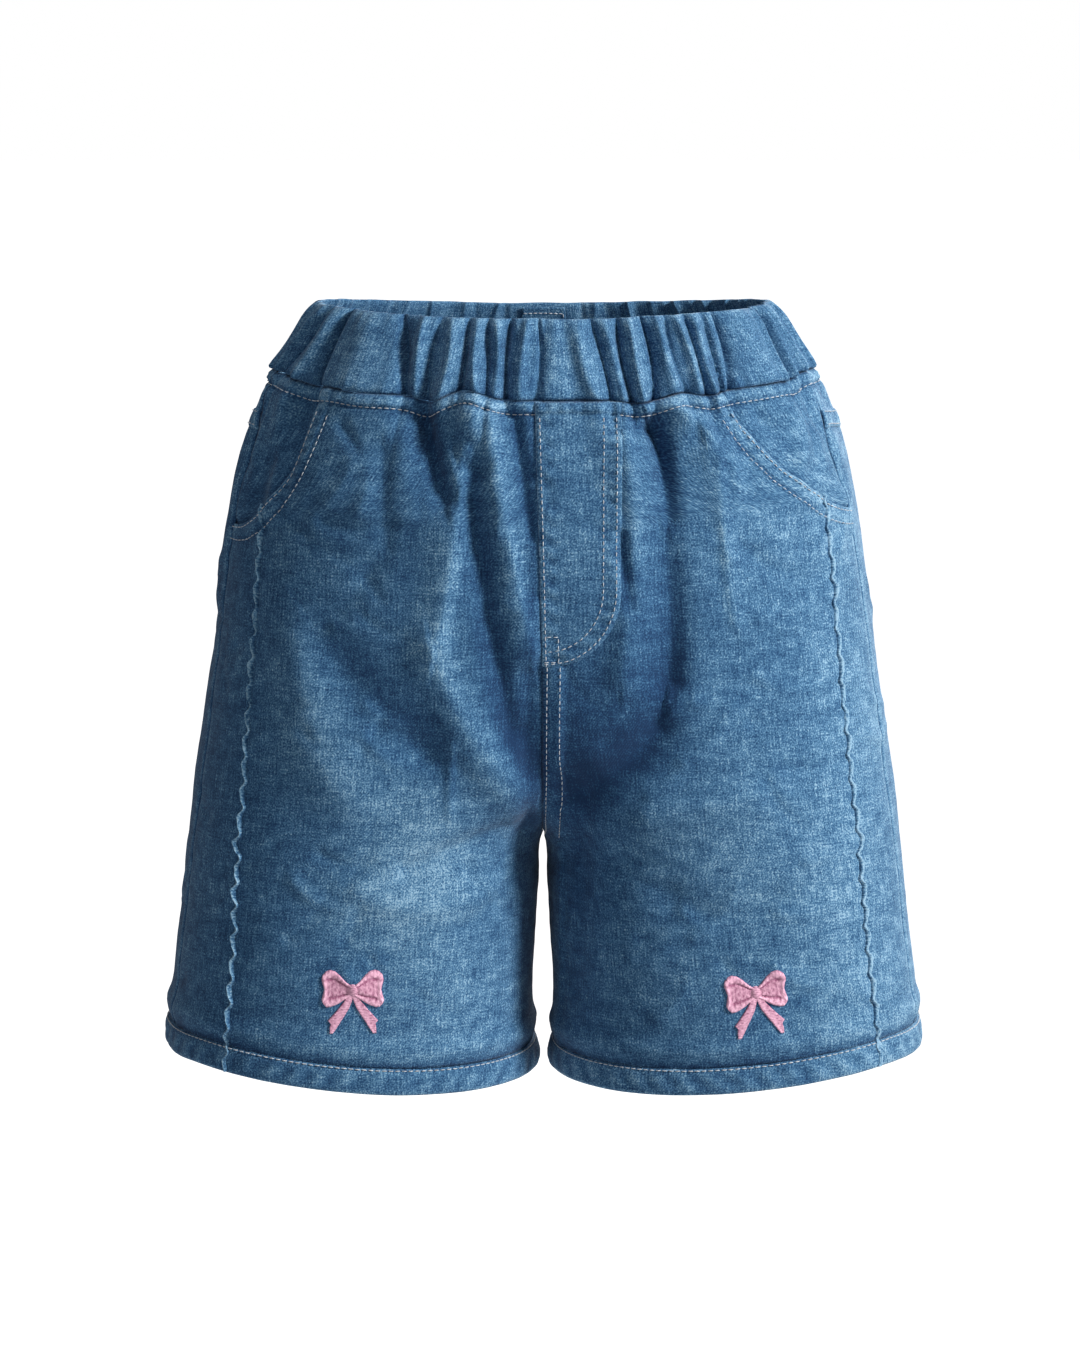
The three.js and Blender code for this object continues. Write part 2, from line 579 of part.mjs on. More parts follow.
// The waistband: cloth folded over a wide elastic, so one thick gathered band with a rounded top.
const BAND_TOP = { side: 112, front: 72, back: 72 };
const BAND_PROFILE = [
  { up: 0, out: -1.6, fold: 0.9 },
  { up: 0.12, out: -0.4, fold: 1 },
  { up: 0.5, out: 0.2, fold: 1 },
  { up: 0.85, out: 0.9, fold: 1 },
  { up: 0.97, out: 0.2, fold: 0.9 },
  { up: 1, out: -1.4, fold: 0.8 },
  { up: 0.96, out: -2.7, fold: 0.7 },
  { up: 0.45, out: -3.6, fold: 0.7 },
  { up: 0, out: -4.2, fold: 0.7 },
];
function bandAt(degrees, up, out, fold) {
  const angle = THREE.MathUtils.degToRad(degrees);
  const share = Math.abs(degrees - 360 * Math.round(degrees / 360)) / 180;
  const side = Math.sin(angle) < 0 ? -1 : 1;
  const seam = seamZ(share);
  const round = squarer(angle);
  const top = new THREE.Vector3(
    BAND_TOP.side * Math.sin(angle) * round,
    -BAND_TOP[share < 0.5 ? "front" : "back"] * Math.cos(angle) * round,
    BAND_TOP_Z + BAND_SIDE_RISE * Math.sin(angle) ** 2,
  );
  const place = formPoint(side, share, seam).setZ(seam + SEAM_GAP / 2).lerp(top, up);
  const pull = bodyFolds(side, share, seam) * FOLD_AT_SEAM * (1 - up) ** 2;
  const normal = formNormal(side, share, seam).setZ(0).normalize();
  return place.addScaledVector(normal, out + fold * gathers(degrees, up) + pull);
}
{
  // Columns stand on each fold's crest and flanks, and fill the plain stretches between them.
  const LEAST = 1.3;
  const MOST = 4.2;
  const wanted = WAIST_FOLDS.flatMap(({ top, seam, spread }) =>
    [-1, 0, 1].map((flank) => ({ top: top + flank * spread, seam: seam + flank * spread })),
  );
  wanted.sort((one, other) => one.top + one.seam - other.top - other.seam);
  const columns = [];
  const fits = (column, before) => column.top - before.top >= LEAST && column.seam - before.seam >= LEAST;
  for (const column of wanted) {
    const before = columns.at(-1);
    if (!before || (fits(column, before) && fits({ top: columns[0].top + 360, seam: columns[0].seam + 360 }, column))) {
      columns.push(column);
    }
  }
  const filled = columns.flatMap((column, i) => {
    const last = i === columns.length - 1;
    const next = last ? { top: columns[0].top + 360, seam: columns[0].seam + 360 } : columns[i + 1];
    const parts = Math.ceil((next.top - column.top) / MOST);
    return evenly(parts)
      .slice(0, -1)
      .map((part) => ({ top: mix(column.top, next.top, part), seam: mix(column.seam, next.seam, part) }));
  });
  const geometry = closedBand(filled, BAND_PROFILE, ({ top, seam }, { up, out, fold }) =>
    bandAt(mix(seam, top, up), up, out, fold),
  );
  add("waistband", geometry, DENIM_FADED);
}

// The stitched square inside the centre back of the waistband, where the elastic is tacked down.
const TACK = { width: 21, low: 0.3, high: 0.9 };
{
  const halfTurn = THREE.MathUtils.radToDeg(TACK.width / 2 / BAND_TOP.side);
  const innerFace = -3.8 - SEAM_GAP;
  const geometry = wall(
    evenly(4),
    evenly(3),
    (u, v, lift) => bandAt(180 + mix(halfTurn, -halfTurn, u), mix(TACK.high, TACK.low, v), innerFace + lift, 0.7),
    [0, -LAYER],
  );
  add("elastic_tack_patch", geometry, DENIM_DEEP);
}

// The mock fly: a flap that laps over the centre seam, straight down and then curved back to it.
{
  const { left, right, bend, foot } = FLY;
  const LAP_EASE = 0.4; // the folded edge stands a little further off the other front
  const top = SEAM_FRONT_Z - RIDGE_DEPTH - 2;
  const curve = evenly(10).map((part) => {
    const turn = (part * Math.PI) / 2;
    return [left * Math.cos(turn) - 0.5, mix(bend, foot, Math.sin(turn))];
  });
  const outline = counterClockwise([[-right, top], [left, top], ...curve]);
  const columns = [
    ...FRONT_COLUMNS.slice(0, 3).reverse().map((u) => ({ side: -1, u, off: LAP_EASE })),
    ...FRONT_COLUMNS.slice(0, 8).map((u) => ({ side: 1, u })),
  ];
  add("mock_fly", layerOnFront(columns, frontRows(1).slice(2, 15), outline), DENIM);
}

// Ruffled seams: a narrow frilled edge that stands on each front seam and waves from side to side.
const FRILL = { wave: 12.4, sway: 1.3, height: 2.3, thick: 1.2, steps: 4 };
for (const side of [-1, 1]) {
  const start = cornerDepth(side) + 2;
  const end = HEM_TOP - 1.5;
  const count = Math.round((end - start) / FRILL.wave) * FRILL.steps;
  const geometry = wall(
    [-1, 1],
    evenly(count),
    (u, v, lift) => {
      const down = mix(start, end, v);
      const share = ruffleShare(side, down);
      const z = rowZ(share, down);
      const sway = FRILL.sway * Math.sin((2 * Math.PI * down) / FRILL.wave) * (lift > 1 ? 1 : 0.35);
      return clothAt(side, share + alongRow(share, z, sway + (u * FRILL.thick) / 2), z, lift);
    },
    [FRILL.height, SEAM_GAP],
  );
  add(`ruffled_seam_${sideName(side)}`, geometry, DENIM_FADED);
}

// Embroidered bows: two loops, a knot and two notched tails in thick satin stitch, bent onto the leg.
const BOW = {
  x: { [-1]: -93.5, [1]: 103.5 }, z: { [-1]: -308, [1]: -309.5 }, lean: { [-1]: 0, [1]: 0.13 },
  size: 1.07, thick: 1, lift: 0.5,
};
function bowOutline() {
  const loop = new THREE.Shape();
  loop.moveTo(0.8, 2.4);
  loop.bezierCurveTo(5, 5.5, 8.5, 10.5, 12, 9.8);
  loop.bezierCurveTo(15.2, 8.8, 13.2, 4.2, 12.9, 1.2);
  loop.bezierCurveTo(12.8, -2, 15, -6, 11.8, -7.4);
  loop.bezierCurveTo(8, -8.6, 4.5, -4, 0.8, -2.4);
  const tail = new THREE.Shape();
  tail.moveTo(0.6, -1.5);
  tail.bezierCurveTo(2, -8, 4.5, -14, 8.6, -20.4);
  tail.lineTo(9.4, -16.4);
  tail.lineTo(12.2, -15.2);
  tail.bezierCurveTo(8, -11.5, 5, -7, 3.4, -2);
  const knot = new THREE.Shape();
  knot.absellipse(0, -0.4, 2.9, 3.7, 0, 2 * Math.PI);
  return { loop, tail, knot };
}
function solidOf(shape, depth, mirrored) {
  const bevel = { bevelThickness: 0.35, bevelSize: 0.45, bevelOffset: -0.45, bevelSegments: 1 };
  const geometry = new THREE.ExtrudeGeometry(shape, { depth: depth - 0.7, curveSegments: 3, ...bevel });
  geometry.deleteAttribute("normal");
  geometry.deleteAttribute("uv");
  const solid = toSolid(mergeVertices(geometry, 1e-4));
  return mirrored ? solid.mirror([1, 0, 0]) : solid;
}
for (const side of [-1, 1]) {
  const { loop, tail, knot } = bowOutline();
  let bow = solidOf(knot, BOW.thick + 0.5, false);
  for (const mirrored of [false, true]) {
    bow = bow.add(solidOf(loop, BOW.thick, mirrored)).add(solidOf(tail, BOW.thick, mirrored));
  }
  const geometry = fromSolid(bow, ({ x, y, z }) => {
    const flat = new THREE.Vector2(x, y).multiplyScalar(BOW.size).rotateAround(new THREE.Vector2(), BOW.lean[side]);
    return onFront(BOW.x[side] + flat.x, BOW.z[side] + flat.y, z + BOW.lift);
  });
  add(`embroidered_bow_${sideName(side)}`, geometry, PINK_THREAD);
}

export default shorts;
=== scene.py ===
import bpy
import numpy as np
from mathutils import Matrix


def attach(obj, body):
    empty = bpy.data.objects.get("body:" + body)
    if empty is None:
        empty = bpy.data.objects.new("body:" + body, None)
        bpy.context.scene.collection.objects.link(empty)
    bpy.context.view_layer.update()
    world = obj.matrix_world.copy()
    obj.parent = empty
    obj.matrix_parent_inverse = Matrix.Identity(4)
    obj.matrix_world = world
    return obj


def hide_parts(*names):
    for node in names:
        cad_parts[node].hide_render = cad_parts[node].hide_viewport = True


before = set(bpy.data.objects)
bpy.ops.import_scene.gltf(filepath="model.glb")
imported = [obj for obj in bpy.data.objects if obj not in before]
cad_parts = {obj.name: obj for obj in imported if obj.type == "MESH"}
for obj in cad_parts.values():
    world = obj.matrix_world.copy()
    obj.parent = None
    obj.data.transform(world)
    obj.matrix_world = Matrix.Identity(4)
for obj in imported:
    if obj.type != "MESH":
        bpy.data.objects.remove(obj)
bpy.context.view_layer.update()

# The front panels: washed mid-blue denim, one for each leg, joined by the seam down the centre front.
# Every panel of the shorts lies on one form, worn and filled out: leg rings that merge above the crotch into
# the hips. Sizes are in millimetres, and a mesh is made in metres.
SEAM_FRONT, SEAM_SIDE_RISE = -20.0, 10.0
HEM_FRONT, HEM_SIDE_RISE, HEM_DEPTH = -363.0, 12.0, 13.5
LENGTH = SEAM_FRONT - HEM_FRONT
HEM_TOP = LENGTH - HEM_DEPTH
DENIM_THICK = 1.3
RINGS = np.array([  # height, outer side, inner side, depth to the front, depth to the back
    (10, 127, -127, 80, 80),
    (-10, 132.5, -132.5, 84, 84),
    (-20, 137.5, -137.5, 87, 88),
    (-50, 149.3, -149.3, 94, 99),
    (-90, 157.5, -144, 97, 107),
    (-140, 164.8, -93, 97, 111),
    (-190, 172.4, -50, 94, 109),
    (-220, 176.8, -22, 91, 104),
    (-243, 179.6, 0, 89, 100),
    (-270, 182.4, 2.6, 87, 96),
    (-325, 189.2, 5.6, 85, 91),
    (-365, 193, 4, 84, 89),
])
SIDE_SEAM = np.array([(-8, 129.5), (-38, 139.5), (-80, 151.5), (-198, 168.5), (-337, 186.5), (-365, 189)])
RUFFLE_SEAM = {
    -1: np.array([(-50, 135.8), (-81, 138), (-354, 157.5)]),
    1: np.array([(-50, 134.8), (-81, 138), (-354, 166.4)]),
}
POCKET = {-1: (0.273, 75, 2.1), 1: (0.209, 68, 1.6)}  # where the mouth starts, its depth, how square it is
SIDE_NAME = {-1: "right", 1: "left"}
MM = 0.001  # a millimetre in Blender's metres
HAIR = 0.0001  # how short of its seam lines a panel stops, as a share of the way round
CENTRE_GAP = 0.15  # how far each leg's cloth stays on its own side of the centre
TURNING = 6.2  # how far the turnings under the waist seam reach down
FOLD_REACH = 2.6  # a fold is nothing beyond this many widths
# The relief draws ridges paler and troughs darker: partly real wear, partly painted highlight and painted
# shade.
PLAIN_WEAR, WEAR_AND_SHADE_PER_MM = 0.355, 0.018  # wear of the plain cloth, and what each millimetre of relief adds
DEEPEST = -0.3  # the least wear, where all the dye is kept

# Gathers of the waistband, in degrees from the centre front: at the top edge, at the seam, height, spread.
GATHERS = [
    (-76, -82, 2.2, 2.6), (-70, -76, 2.4, 2.2), (-64, -70, -5.4, 1.8), (-59, -62, 2.6, 2.6),
    (-54, -52, -6.4, 1.6), (-45, -41, 2.4, 5.5), (-36, -29, -4.2, 2.6), (-29.5, -26.5, 2.8, 1.5),
    (-25.5, -24, -2, 1.6), (-22, -21, 3.2, 1.6), (-18.5, -17, -3.4, 1.4), (-16, -13.5, 2.8, 1.4),
    (-13.5, -11.5, -2.6, 1.2), (-11.5, -9.5, 3.2, 1.3), (-8, -7.5, -4, 2), (-4, -5, 2.4, 1.3),
    (-1.5, -2, -1.8, 1.2), (2, 2, 1.2, 3), (8, 10.5, 2.8, 1.8), (11.5, 13.5, -2.4, 1.3), (14.5, 16, 2, 1.3),
    (18, 17.8, -3.4, 1.2), (20.5, 19.6, 3.2, 1.2), (24, 22, -3.8, 1.5), (27.5, 27, 2.6, 1.5),
    (30, 29, -2.4, 1.2), (32.5, 31.5, 2.6, 1.1), (35.5, 33.5, -2.6, 1.1), (38, 35.5, 2.2, 1.2),
    (41, 37.5, -2.4, 1.2), (44.5, 39.5, -3.8, 1.5), (54, 51, 2.4, 5.5), (60.5, 57.5, 1.8, 1.4),
    (63, 60, -3, 1.4), (66.5, 63.5, 2.4, 1.4), (69.5, 66.5, -2.6, 1.4), (73, 71, 2.2, 1.8),
    (77, 76, -2.2, 1.6),
]
for side in (-1, 1):
    for index, at in enumerate(np.arange(81, 172, 3.9)):
        sway = np.sin(index * 2.4 + side)
        height = (1 if index % 2 else -1) * 3 * (1 + 0.4 * np.sin(index * 1.7 - side))
        width = 1.4 * (1 + 0.25 * sway)
        GATHERS.append((side * (at + 1.3 * sway), side * (at - 1.1 * sway), 0.7 * height, width))
GATHERS = np.array(GATHERS)

# Where the waist seam dips and rises between its gathers: degrees from the centre front, rise, width.
SEAM_WAVES = np.array([
    (-15.5, 4.2, 4.5), (-23.5, -2.6, 3.4), (-38, -1.2, 7), (-54, -1.8, 7), (19, -2.2, 5), (27.5, 1.4, 3.4),
    (34, -1.4, 4), (60, -1, 4), (72, 1.2, 6), (105, 1.5, 7), (140, -1.5, 9), (-100, 1.5, 8), (-138, -1.5, 9),
    (-172, 1, 8)])

# Folds: the face each is seen on, three points of its line across and up, its height at both ends, and how
# far it reaches to each side of the line.
FOLDS = [
    ("front", (-59, -20), (-54, -44), (-48, -66), -12, -5, 5, 8),
    ("front", (-38, -18), (-38, -34), (-40, -56), 7.5, 3.4, 10, 6),
    ("front", (-42, -56), (-43, -86), (-51, -134), 2.8, 4.4, 5, 12),
    ("front", (-43, -42), (-36, -40), (-31, -50), -2.4, -2.4, 4, 4),
    ("front", (-36, -52), (-28, -112), (-16, -180), -5.4, -4.6, 6, 7),
    ("front", (-26, -22), (-17.5, -82), (-6, -140), 6.5, 3, 4, 11),
    ("front", (-14, -26), (-11.5, -50), (-6, -84), -5, -2, 4, 3.5),
    ("front", (-52, -142), (-37, -177), (-10, -212), 4.6, 3, 8, 11),
    ("front", (-110, -134), (-88, -162), (-58, -188), -3.6, -4.8, 16, 14),
    ("front", (-44, -182), (-30, -200), (-12, -220), 2.6, 2, 12, 10),
    ("front", (-118, -137), (-110, -186), (-95, -212), 3.6, 3, 15, 15),
    ("front", (-106, -78), (-90, -82), (-74, -78.5), -2, -1.3, 3, 4.5),
    ("front", (-97, -33), (-94, -38), (-91, -43), -1.8, -1, 3, 3),
    ("front", (-45, -186), (-45.5, -203), (-46, -222), 1.6, 0.9, 2.2, 2.4),
    ("front", (-78, -44), (-78, -66), (-76, -92), -2.2, -1.2, 5, 6),
    ("front", (-66, -248), (-43, -239), (-20, -231), -2.8, -2.2, 5, 7),
    ("front", (-90, -260), (-60, -268), (-28, -262), 2.2, 1.8, 9, 8),
    ("front", (-84, -100), (-90, -112), (-100, -122), -1.8, -1, 7, 7),
    ("front", (-126, -20), (-131, -46), (-135, -72), 3.4, 2.4, 3.2, 5),
    ("front", (-119, -20), (-121, -44), (-127, -66), -2.6, -1.6, 3.4, 4),
    ("front", (57, -22), (69, -28), (83, -43), 9.5, 2.5, 5, 6.5),
    ("front", (52, -32), (57, -48), (60, -76), -12, -5, 5, 7),
    ("front", (58, -88), (61, -118), (60, -154), -4.6, -7, 7.5, 12),
    ("front", (55, -178), (42, -194), (18, -214), -5.4, -5, 9, 12),
    ("front", (77, -46), (80, -60), (83, -78), 3.4, 2, 9, 6),
    ("front", (83, -48), (86, -87), (92, -128), 2, 1.2, 6, 2.4),
    ("front", (38, -42), (41.5, -84), (38, -152), 5.2, 3.6, 11, 8),
    ("front", (36.5, -84), (38.5, -100), (41, -118), -3.2, -2.2, 3.5, 3.5),
    ("front", (51, -222), (80, -215), (112, -210), 3, 2, 8, 11),
    ("front", (60, -262), (85, -272), (112, -262), -2, -1.5, 8, 9),
    ("front", (100, -93), (110, -101), (124, -105), -2, -1.2, 4, 6),
    ("front", (104, -26), (107, -31), (112, -35), -2.2, -1.2, 2.6, 3.4),
    ("front", (118, -26), (123, -40), (126, -60), 2, 1.2, 5, 4),
    ("front", (12, -205), (17, -250), (14, -320), -3.4, -2.6, 9, 8),
    ("front", (-7, -152), (-8, -192), (-8, -236), -2.6, -3.4, 5, 7),
    ("right", (-52, -16), (-50, -40), (-46, -70), -4, -2.6, 7, 7),
    ("right", (-26, -20), (-22, -60), (-16, -120), 4, 2.6, 9, 9),
    ("left", (-40, -14), (-36, -36), (-30, -62), -3.4, -2, 7, 7),
    ("left", (10, -20), (14, -70), (10, -130), 3.4, 2, 10, 10),
    ("back", (-62, -20), (-66, -50), (-74, -92), -8, -4, 7, 9),
    ("back", (-30, -20), (-34, -52), (-30, -88), 6, 3.2, 8, 7),
    ("back", (58, -20), (64, -58), (70, -104), -8, -4, 9, 7),
    ("back", (30, -20), (30, -46), (36, -76), 5.4, 3.2, 7, 7),
    ("back", (-98, -176), (-62, -206), (-18, -222), -6, -5, 11, 12),
    ("back", (-92, -204), (-58, -232), (-22, -246), 4.8, 4, 11, 11),
    ("back", (104, -170), (66, -204), (20, -220), -6.4, -5, 12, 11),
    ("back", (96, -200), (62, -230), (24, -244), 4.8, 4, 11, 11),
    ("back", (-120, -240), (-112, -290), (-116, -340), 3.6, 2.8, 14, 14),
    ("back", (116, -230), (108, -280), (112, -335), 3.6, 2.8, 14, 14),
]
chance = np.random.default_rng(12)  # small creases from the wash, upright near the waist and level lower down
for face, reach, count in (("front", 150, 80), ("back", 150, 80), ("left", 80, 30), ("right", 80, 30)):
    for x, z, turn, length, height in zip(*chance.uniform(size=(5, count))):
        x, z, length = reach * (2 * x - 1), -32 - 305 * z, 6 + 12 * length
        turn = np.pi * (0.5 if z > -110 else 0.05) + 2.2 * (turn - 0.5)
        step = length * np.array([np.cos(turn), np.sin(turn)])
        middle = np.array([x, z])
        size = (-1 if height < 0.6 else 1) * (0.6 + 0.9 * height)
        bend = 0.2 * step[::-1] * (1, -1)
        right_width = 2.2 + 2 * height
        FOLDS.append((face, middle - step, middle + bend, middle + step, size, 0.4 * size, right_width, 3.6))


# Painted shade in the front's troughs (below 0) and painted highlights on its crests, partly also the dye
# kept in troughs and rubbed off crests: three points of a line across and up, the change of wear at both
# ends, and how far it reaches to each side.
RUBS_AND_PAINTED_SHADE = [
    ((-51.5, -24), (-49, -46), (-45, -64), -0.34, -0.24, 1.6, 11),
    ((-41.7, -60), (-42, -92), (-47, -140), 0.06, 0.14, 2, 9),
    ((-34, -52), (-26, -112), (-13, -186), -0.22, -0.28, 5, 6),
    ((-21, -34), (-17, -84), (-6.7, -126), 0.06, 0.16, 1.6, 7),
    ((-15.5, -26), (-13, -52), (-6, -86), -0.3, -0.16, 6, 1.6),
    ((-47, -22), (-38, -23), (-29, -24), 0.12, 0.12, 6, 6),
    ((-47, -40), (-38, -39), (-31, -55), -0.16, -0.16, 3.5, 3.5),
    ((-105, -134), (-82, -158), (-50, -190), -0.1, -0.22, 14, 11),
    ((-114, -137), (-106, -186), (-93, -212), 0.12, 0.1, 10, 10),
    ((-50, -142), (-37, -173), (-14, -208), 0.16, 0.12, 8, 9),
    ((-6, -112), (-7, -170), (-6, -232), -0.14, -0.24, 5, 6),
    ((54, -31), (59, -48), (62, -80), -0.34, -0.22, 4, 6),
    ((62, -96), (66, -126), (65, -156), -0.14, -0.34, 3.5, 10),
    ((60, -162), (46, -184), (20, -210), -0.3, -0.3, 10, 14),
    ((44, -76), (46, -90), (48, -108), 0.16, 0.1, 3.5, 3.5),
    ((87, -50), (90, -70), (93, -84), -0.12, -0.08, 2, 4),
    ((57, -20), (66, -21), (75, -26), 0.1, 0.1, 5, 5),
    ((37.5, -84), (38.5, -100), (40, -118), -0.26, -0.2, 2.6, 2.6),
    ((-62, -84), (-66, -100), (-70, -122), -0.14, -0.14, 6, 8),
    ((82, -30), (86, -34), (90, -40), -0.14, -0.08, 3, 3),
    ((83, -48), (86, -87), (91, -126), 0.12, 0.1, 1.2, 1.2),
    ((-36, -104), (-28, -150), (-11, -196), -0.14, -0.22, 6, 4.5),
    ((-8, -190), (4, -206), (16, -214), -0.16, -0.16, 8, 8),
]


def smooth(low, high, value):
    """0 under low, 1 over high, and between them the S curve 3t² - 2t³."""
    t = np.clip((value - low) / (high - low), 0, 1)
    return t * t * (3 - 2 * t)


def bell(offset, width):
    """A bell: e to the power of minus (offset / width)²."""
    return np.exp(-((offset / width) ** 2))


def through(rows, column, z):
    """A smooth curve through one column of a table whose first column is a falling height: a cubic between
    each two rows, whose slope at a row is that of the line between the rows beside it."""
    heights, values = rows[:, 0], rows[:, column]
    last = len(rows) - 1
    before, after = np.maximum(np.arange(last + 1) - 1, 0), np.minimum(np.arange(last + 1) + 1, last)
    slopes = (values[after] - values[before]) / (heights[after] - heights[before])
    i = np.clip(np.searchsorted(-heights, -z) - 1, 0, last - 1)
    span = heights[i + 1] - heights[i]
    s = np.clip((z - heights[i]) / span, 0, 1)
    ends = (1 + 2 * s) * (1 - s) ** 2 * values[i] + s * s * (3 - 2 * s) * values[i + 1]
    return ends + span * (s * (1 - s) ** 2 * slopes[i] - s * s * (1 - s) * slopes[i + 1])


def squarer(angle):
    """How far a ring stands outside its ellipse: most half way between its axes."""
    return 1 + 0.045 * np.sin(2 * angle) ** 2


def rings_at(z):
    """The middle, half width, front and back depth of the leg rings at heights z, and the angle where the
    centre line cuts each: cos(angle) = middle / half width, solved by turns because the ring isn't a true
    ellipse."""
    outer, inner, front, back = (through(RINGS, column, z) for column in (1, 2, 3, 4))
    middle, half = (outer + inner) / 2, (outer - inner) / 2
    cut = np.full(np.shape(z), np.pi / 2)
    for turn in range(8):
        cut = np.arccos(np.clip(-middle / (half * squarer(cut)), -1, 1))
    return middle, half, front, back, np.where(inner < 0, cut, np.pi)


def angle_at(cut, share):
    """The angle round a ring for a share of the way from the centre front (0) to the centre back (1): even at
    the side, and a cubic term stretches the ends to the cut."""
    return (share - 0.5) * np.pi + (2 * share - 1) ** 3 * (cut - np.pi / 2)


def form(side, share, z):
    """Points of the plain form: an ellipse, a little squared, round the middle of each leg's ring."""
    side, share, z = np.broadcast_arrays(side, share, z)
    middle, half, front, back, cut = rings_at(z)
    angle = angle_at(cut, share)
    x = side * (middle + half * np.cos(angle) * squarer(angle))
    y = np.where(angle < 0, front, back) * np.sin(angle) * squarer(angle)
    return np.stack([x, y, z], -1)


def outward(side, share, z):
    """The form's outward direction: the cross product of a step down and a step round."""
    round_it = form(side, np.minimum(share + 0.002, 1), z) - form(side, np.maximum(share - 0.002, 0), z)
    down = form(side, share, z - 1) - form(side, share, z + 1)
    normal = np.cross(down, round_it) * np.asarray(side)[..., None]
    return normal / np.linalg.norm(normal, axis=-1, keepdims=True)


def seam_z(side, share):
    """Height of the waist seam: it rises to the sides with sin², and waves with the gathers."""
    degrees = side * 180 * np.asarray(share)
    turn = degrees[..., None] - SEAM_WAVES[:, 0]
    waves = (SEAM_WAVES[:, 1] * bell(turn - 360 * np.round(turn / 360), SEAM_WAVES[:, 2])).sum(-1)
    return SEAM_FRONT + SEAM_SIDE_RISE * np.sin(np.pi * share) ** 2 + waves


def hem_z(share):
    """Height of the hem's edge: it rises over the outer side of the leg."""
    return HEM_FRONT + HEM_SIDE_RISE * smooth(0.08, 0.32, share) * smooth(0, 0.45, 1 - share)


def row_z(side, share, down):
    """Height a number of millimetres down the cloth, spread over the true length between seam and hem."""
    top = seam_z(side, share)
    return top + (hem_z(share) - top) * down / LENGTH


def along_row(share, z, length):
    """Millimetres along a row, as a share of the way round: the length over the form's own speed there."""
    start = np.clip(share - 0.005, 0, 0.99)
    return 0.01 * length / np.linalg.norm(form(1, start, z) - form(1, start + 0.01, z), axis=-1)


def share_at_x(x, z):
    """The share of the way round that lies at x on the front, found by turns from the ring's angle."""
    middle, half, _, _, cut = rings_at(z)
    angle = np.full(np.shape(z), -np.pi / 2)
    for turn in range(12):
        angle = -np.arccos(np.clip((np.abs(x) - middle) / (half * squarer(angle)), -1, 1))
    share = 0.5 + angle / cut / 2
    for turn in range(12):
        slope = np.pi + 6 * (2 * share - 1) ** 2 * (cut - np.pi / 2)
        share = share - (angle_at(cut, share) - angle) / slope
    return np.maximum(share, 0)


def plain_z(share, down):
    """Height down the cloth with no waves in the waist seam, where the seam lines are measured."""
    return SEAM_FRONT + SEAM_SIDE_RISE * np.sin(np.pi * share) ** 2 * (1 - down / LENGTH) - down


def side_share(down):
    """The share of the way round where the side seam runs, at a depth."""
    z = plain_z(0.4, down)
    return share_at_x(through(SIDE_SEAM, 1, z), z)


def ruffle_share(side, down):
    """The share of the way round where the ruffled seam runs, at a depth."""
    z = plain_z(0.3, down)
    return share_at_x(through(RUFFLE_SEAM[side], 1, z), z)


def pocket_share(side, down):
    """The pocket's mouth at a depth: a superellipse from its start on the waist seam to the side seam."""
    start, depth, square = POCKET[side]
    end = side_share(down)
    return end - (end - start) * (1 - np.clip(down / depth, 0, 1) ** square) ** (1 / square)


def pocket_down(side, share):
    """The depth of the pocket's mouth at a share of the way round."""
    start, depth, square = POCKET[side]
    end = side_share(np.array(float(depth)))
    return depth * (1 - np.clip((end - share) / (end - start), 0, 1) ** square) ** (1 / square)


def fold_heights(across, z, fold):
    """A fold's height at points of one face: the distance to its line, a curve through three points, goes
    through the curve e to the minus (distance / width)^1.7, whose width differs on the two sides, and its
    height changes evenly from end to end."""
    start, via, end, first, last, right_width, left_width = fold
    start, via, end = (np.array(p, float) for p in (start, via, end))
    pull = 2 * via - (start + end) / 2
    t = np.linspace(0, 1, 17)[:, None]
    line = (1 - t) ** 2 * start + 2 * t * (1 - t) * pull + t * t * end
    offset = np.stack([across, z], -1)[..., None, :] - line[:-1]
    run = line[1:] - line[:-1]
    part = np.clip((offset * run).sum(-1) / (run * run).sum(-1), 0, 1)
    away = offset - part[..., None] * run
    distance = np.linalg.norm(away, axis=-1)
    nearest = distance.argmin(-1)[..., None]
    distance = np.take_along_axis(distance, nearest, -1)[..., 0]
    hand = run[:, 0] * offset[..., 1] - run[:, 1] * offset[..., 0]
    on_left = np.take_along_axis(hand, nearest, -1)[..., 0] < 0
    along = (nearest[..., 0] + np.take_along_axis(part, nearest, -1)[..., 0]) / len(run)
    fall = np.exp(-((distance / np.where(on_left, left_width, right_width)) ** 1.7))
    return (first + (last - first) * along) * fall


def fold_sum(side, share, z):
    """All the folds at points of the form, each counted on the face it is seen on and fading round its
    edge."""
    place = form(side, share, z)
    angle = angle_at(rings_at(np.broadcast_to(z, place.shape[:-1]))[4], share)
    faces = {
        "front": (smooth(0.05, 0.45, -np.sin(angle)), place[..., 0]),
        "back": (smooth(0.05, 0.45, np.sin(angle)), place[..., 0]),
        "right": (smooth(0.4, 0.8, np.cos(angle)) * (np.asarray(side) < 0), place[..., 1]),
        "left": (smooth(0.4, 0.8, np.cos(angle)) * (np.asarray(side) > 0), place[..., 1]),
    }
    total = np.zeros(place.shape[:-1])
    for face, *fold in FOLDS:
        weight, across = faces[face]
        low = np.minimum(np.minimum(fold[0], fold[1]), fold[2]) - FOLD_REACH * max(fold[-2:])
        high = np.maximum(np.maximum(fold[0], fold[1]), fold[2]) + FOLD_REACH * max(fold[-2:])
        near = (weight > 0) & (across > low[0]) & (across < high[0])
        near &= (place[..., 2] > low[1]) & (place[..., 2] < high[1])
        if near.any():
            total[near] += weight[near] * fold_heights(across[near], place[..., 2][near], fold)
    return total


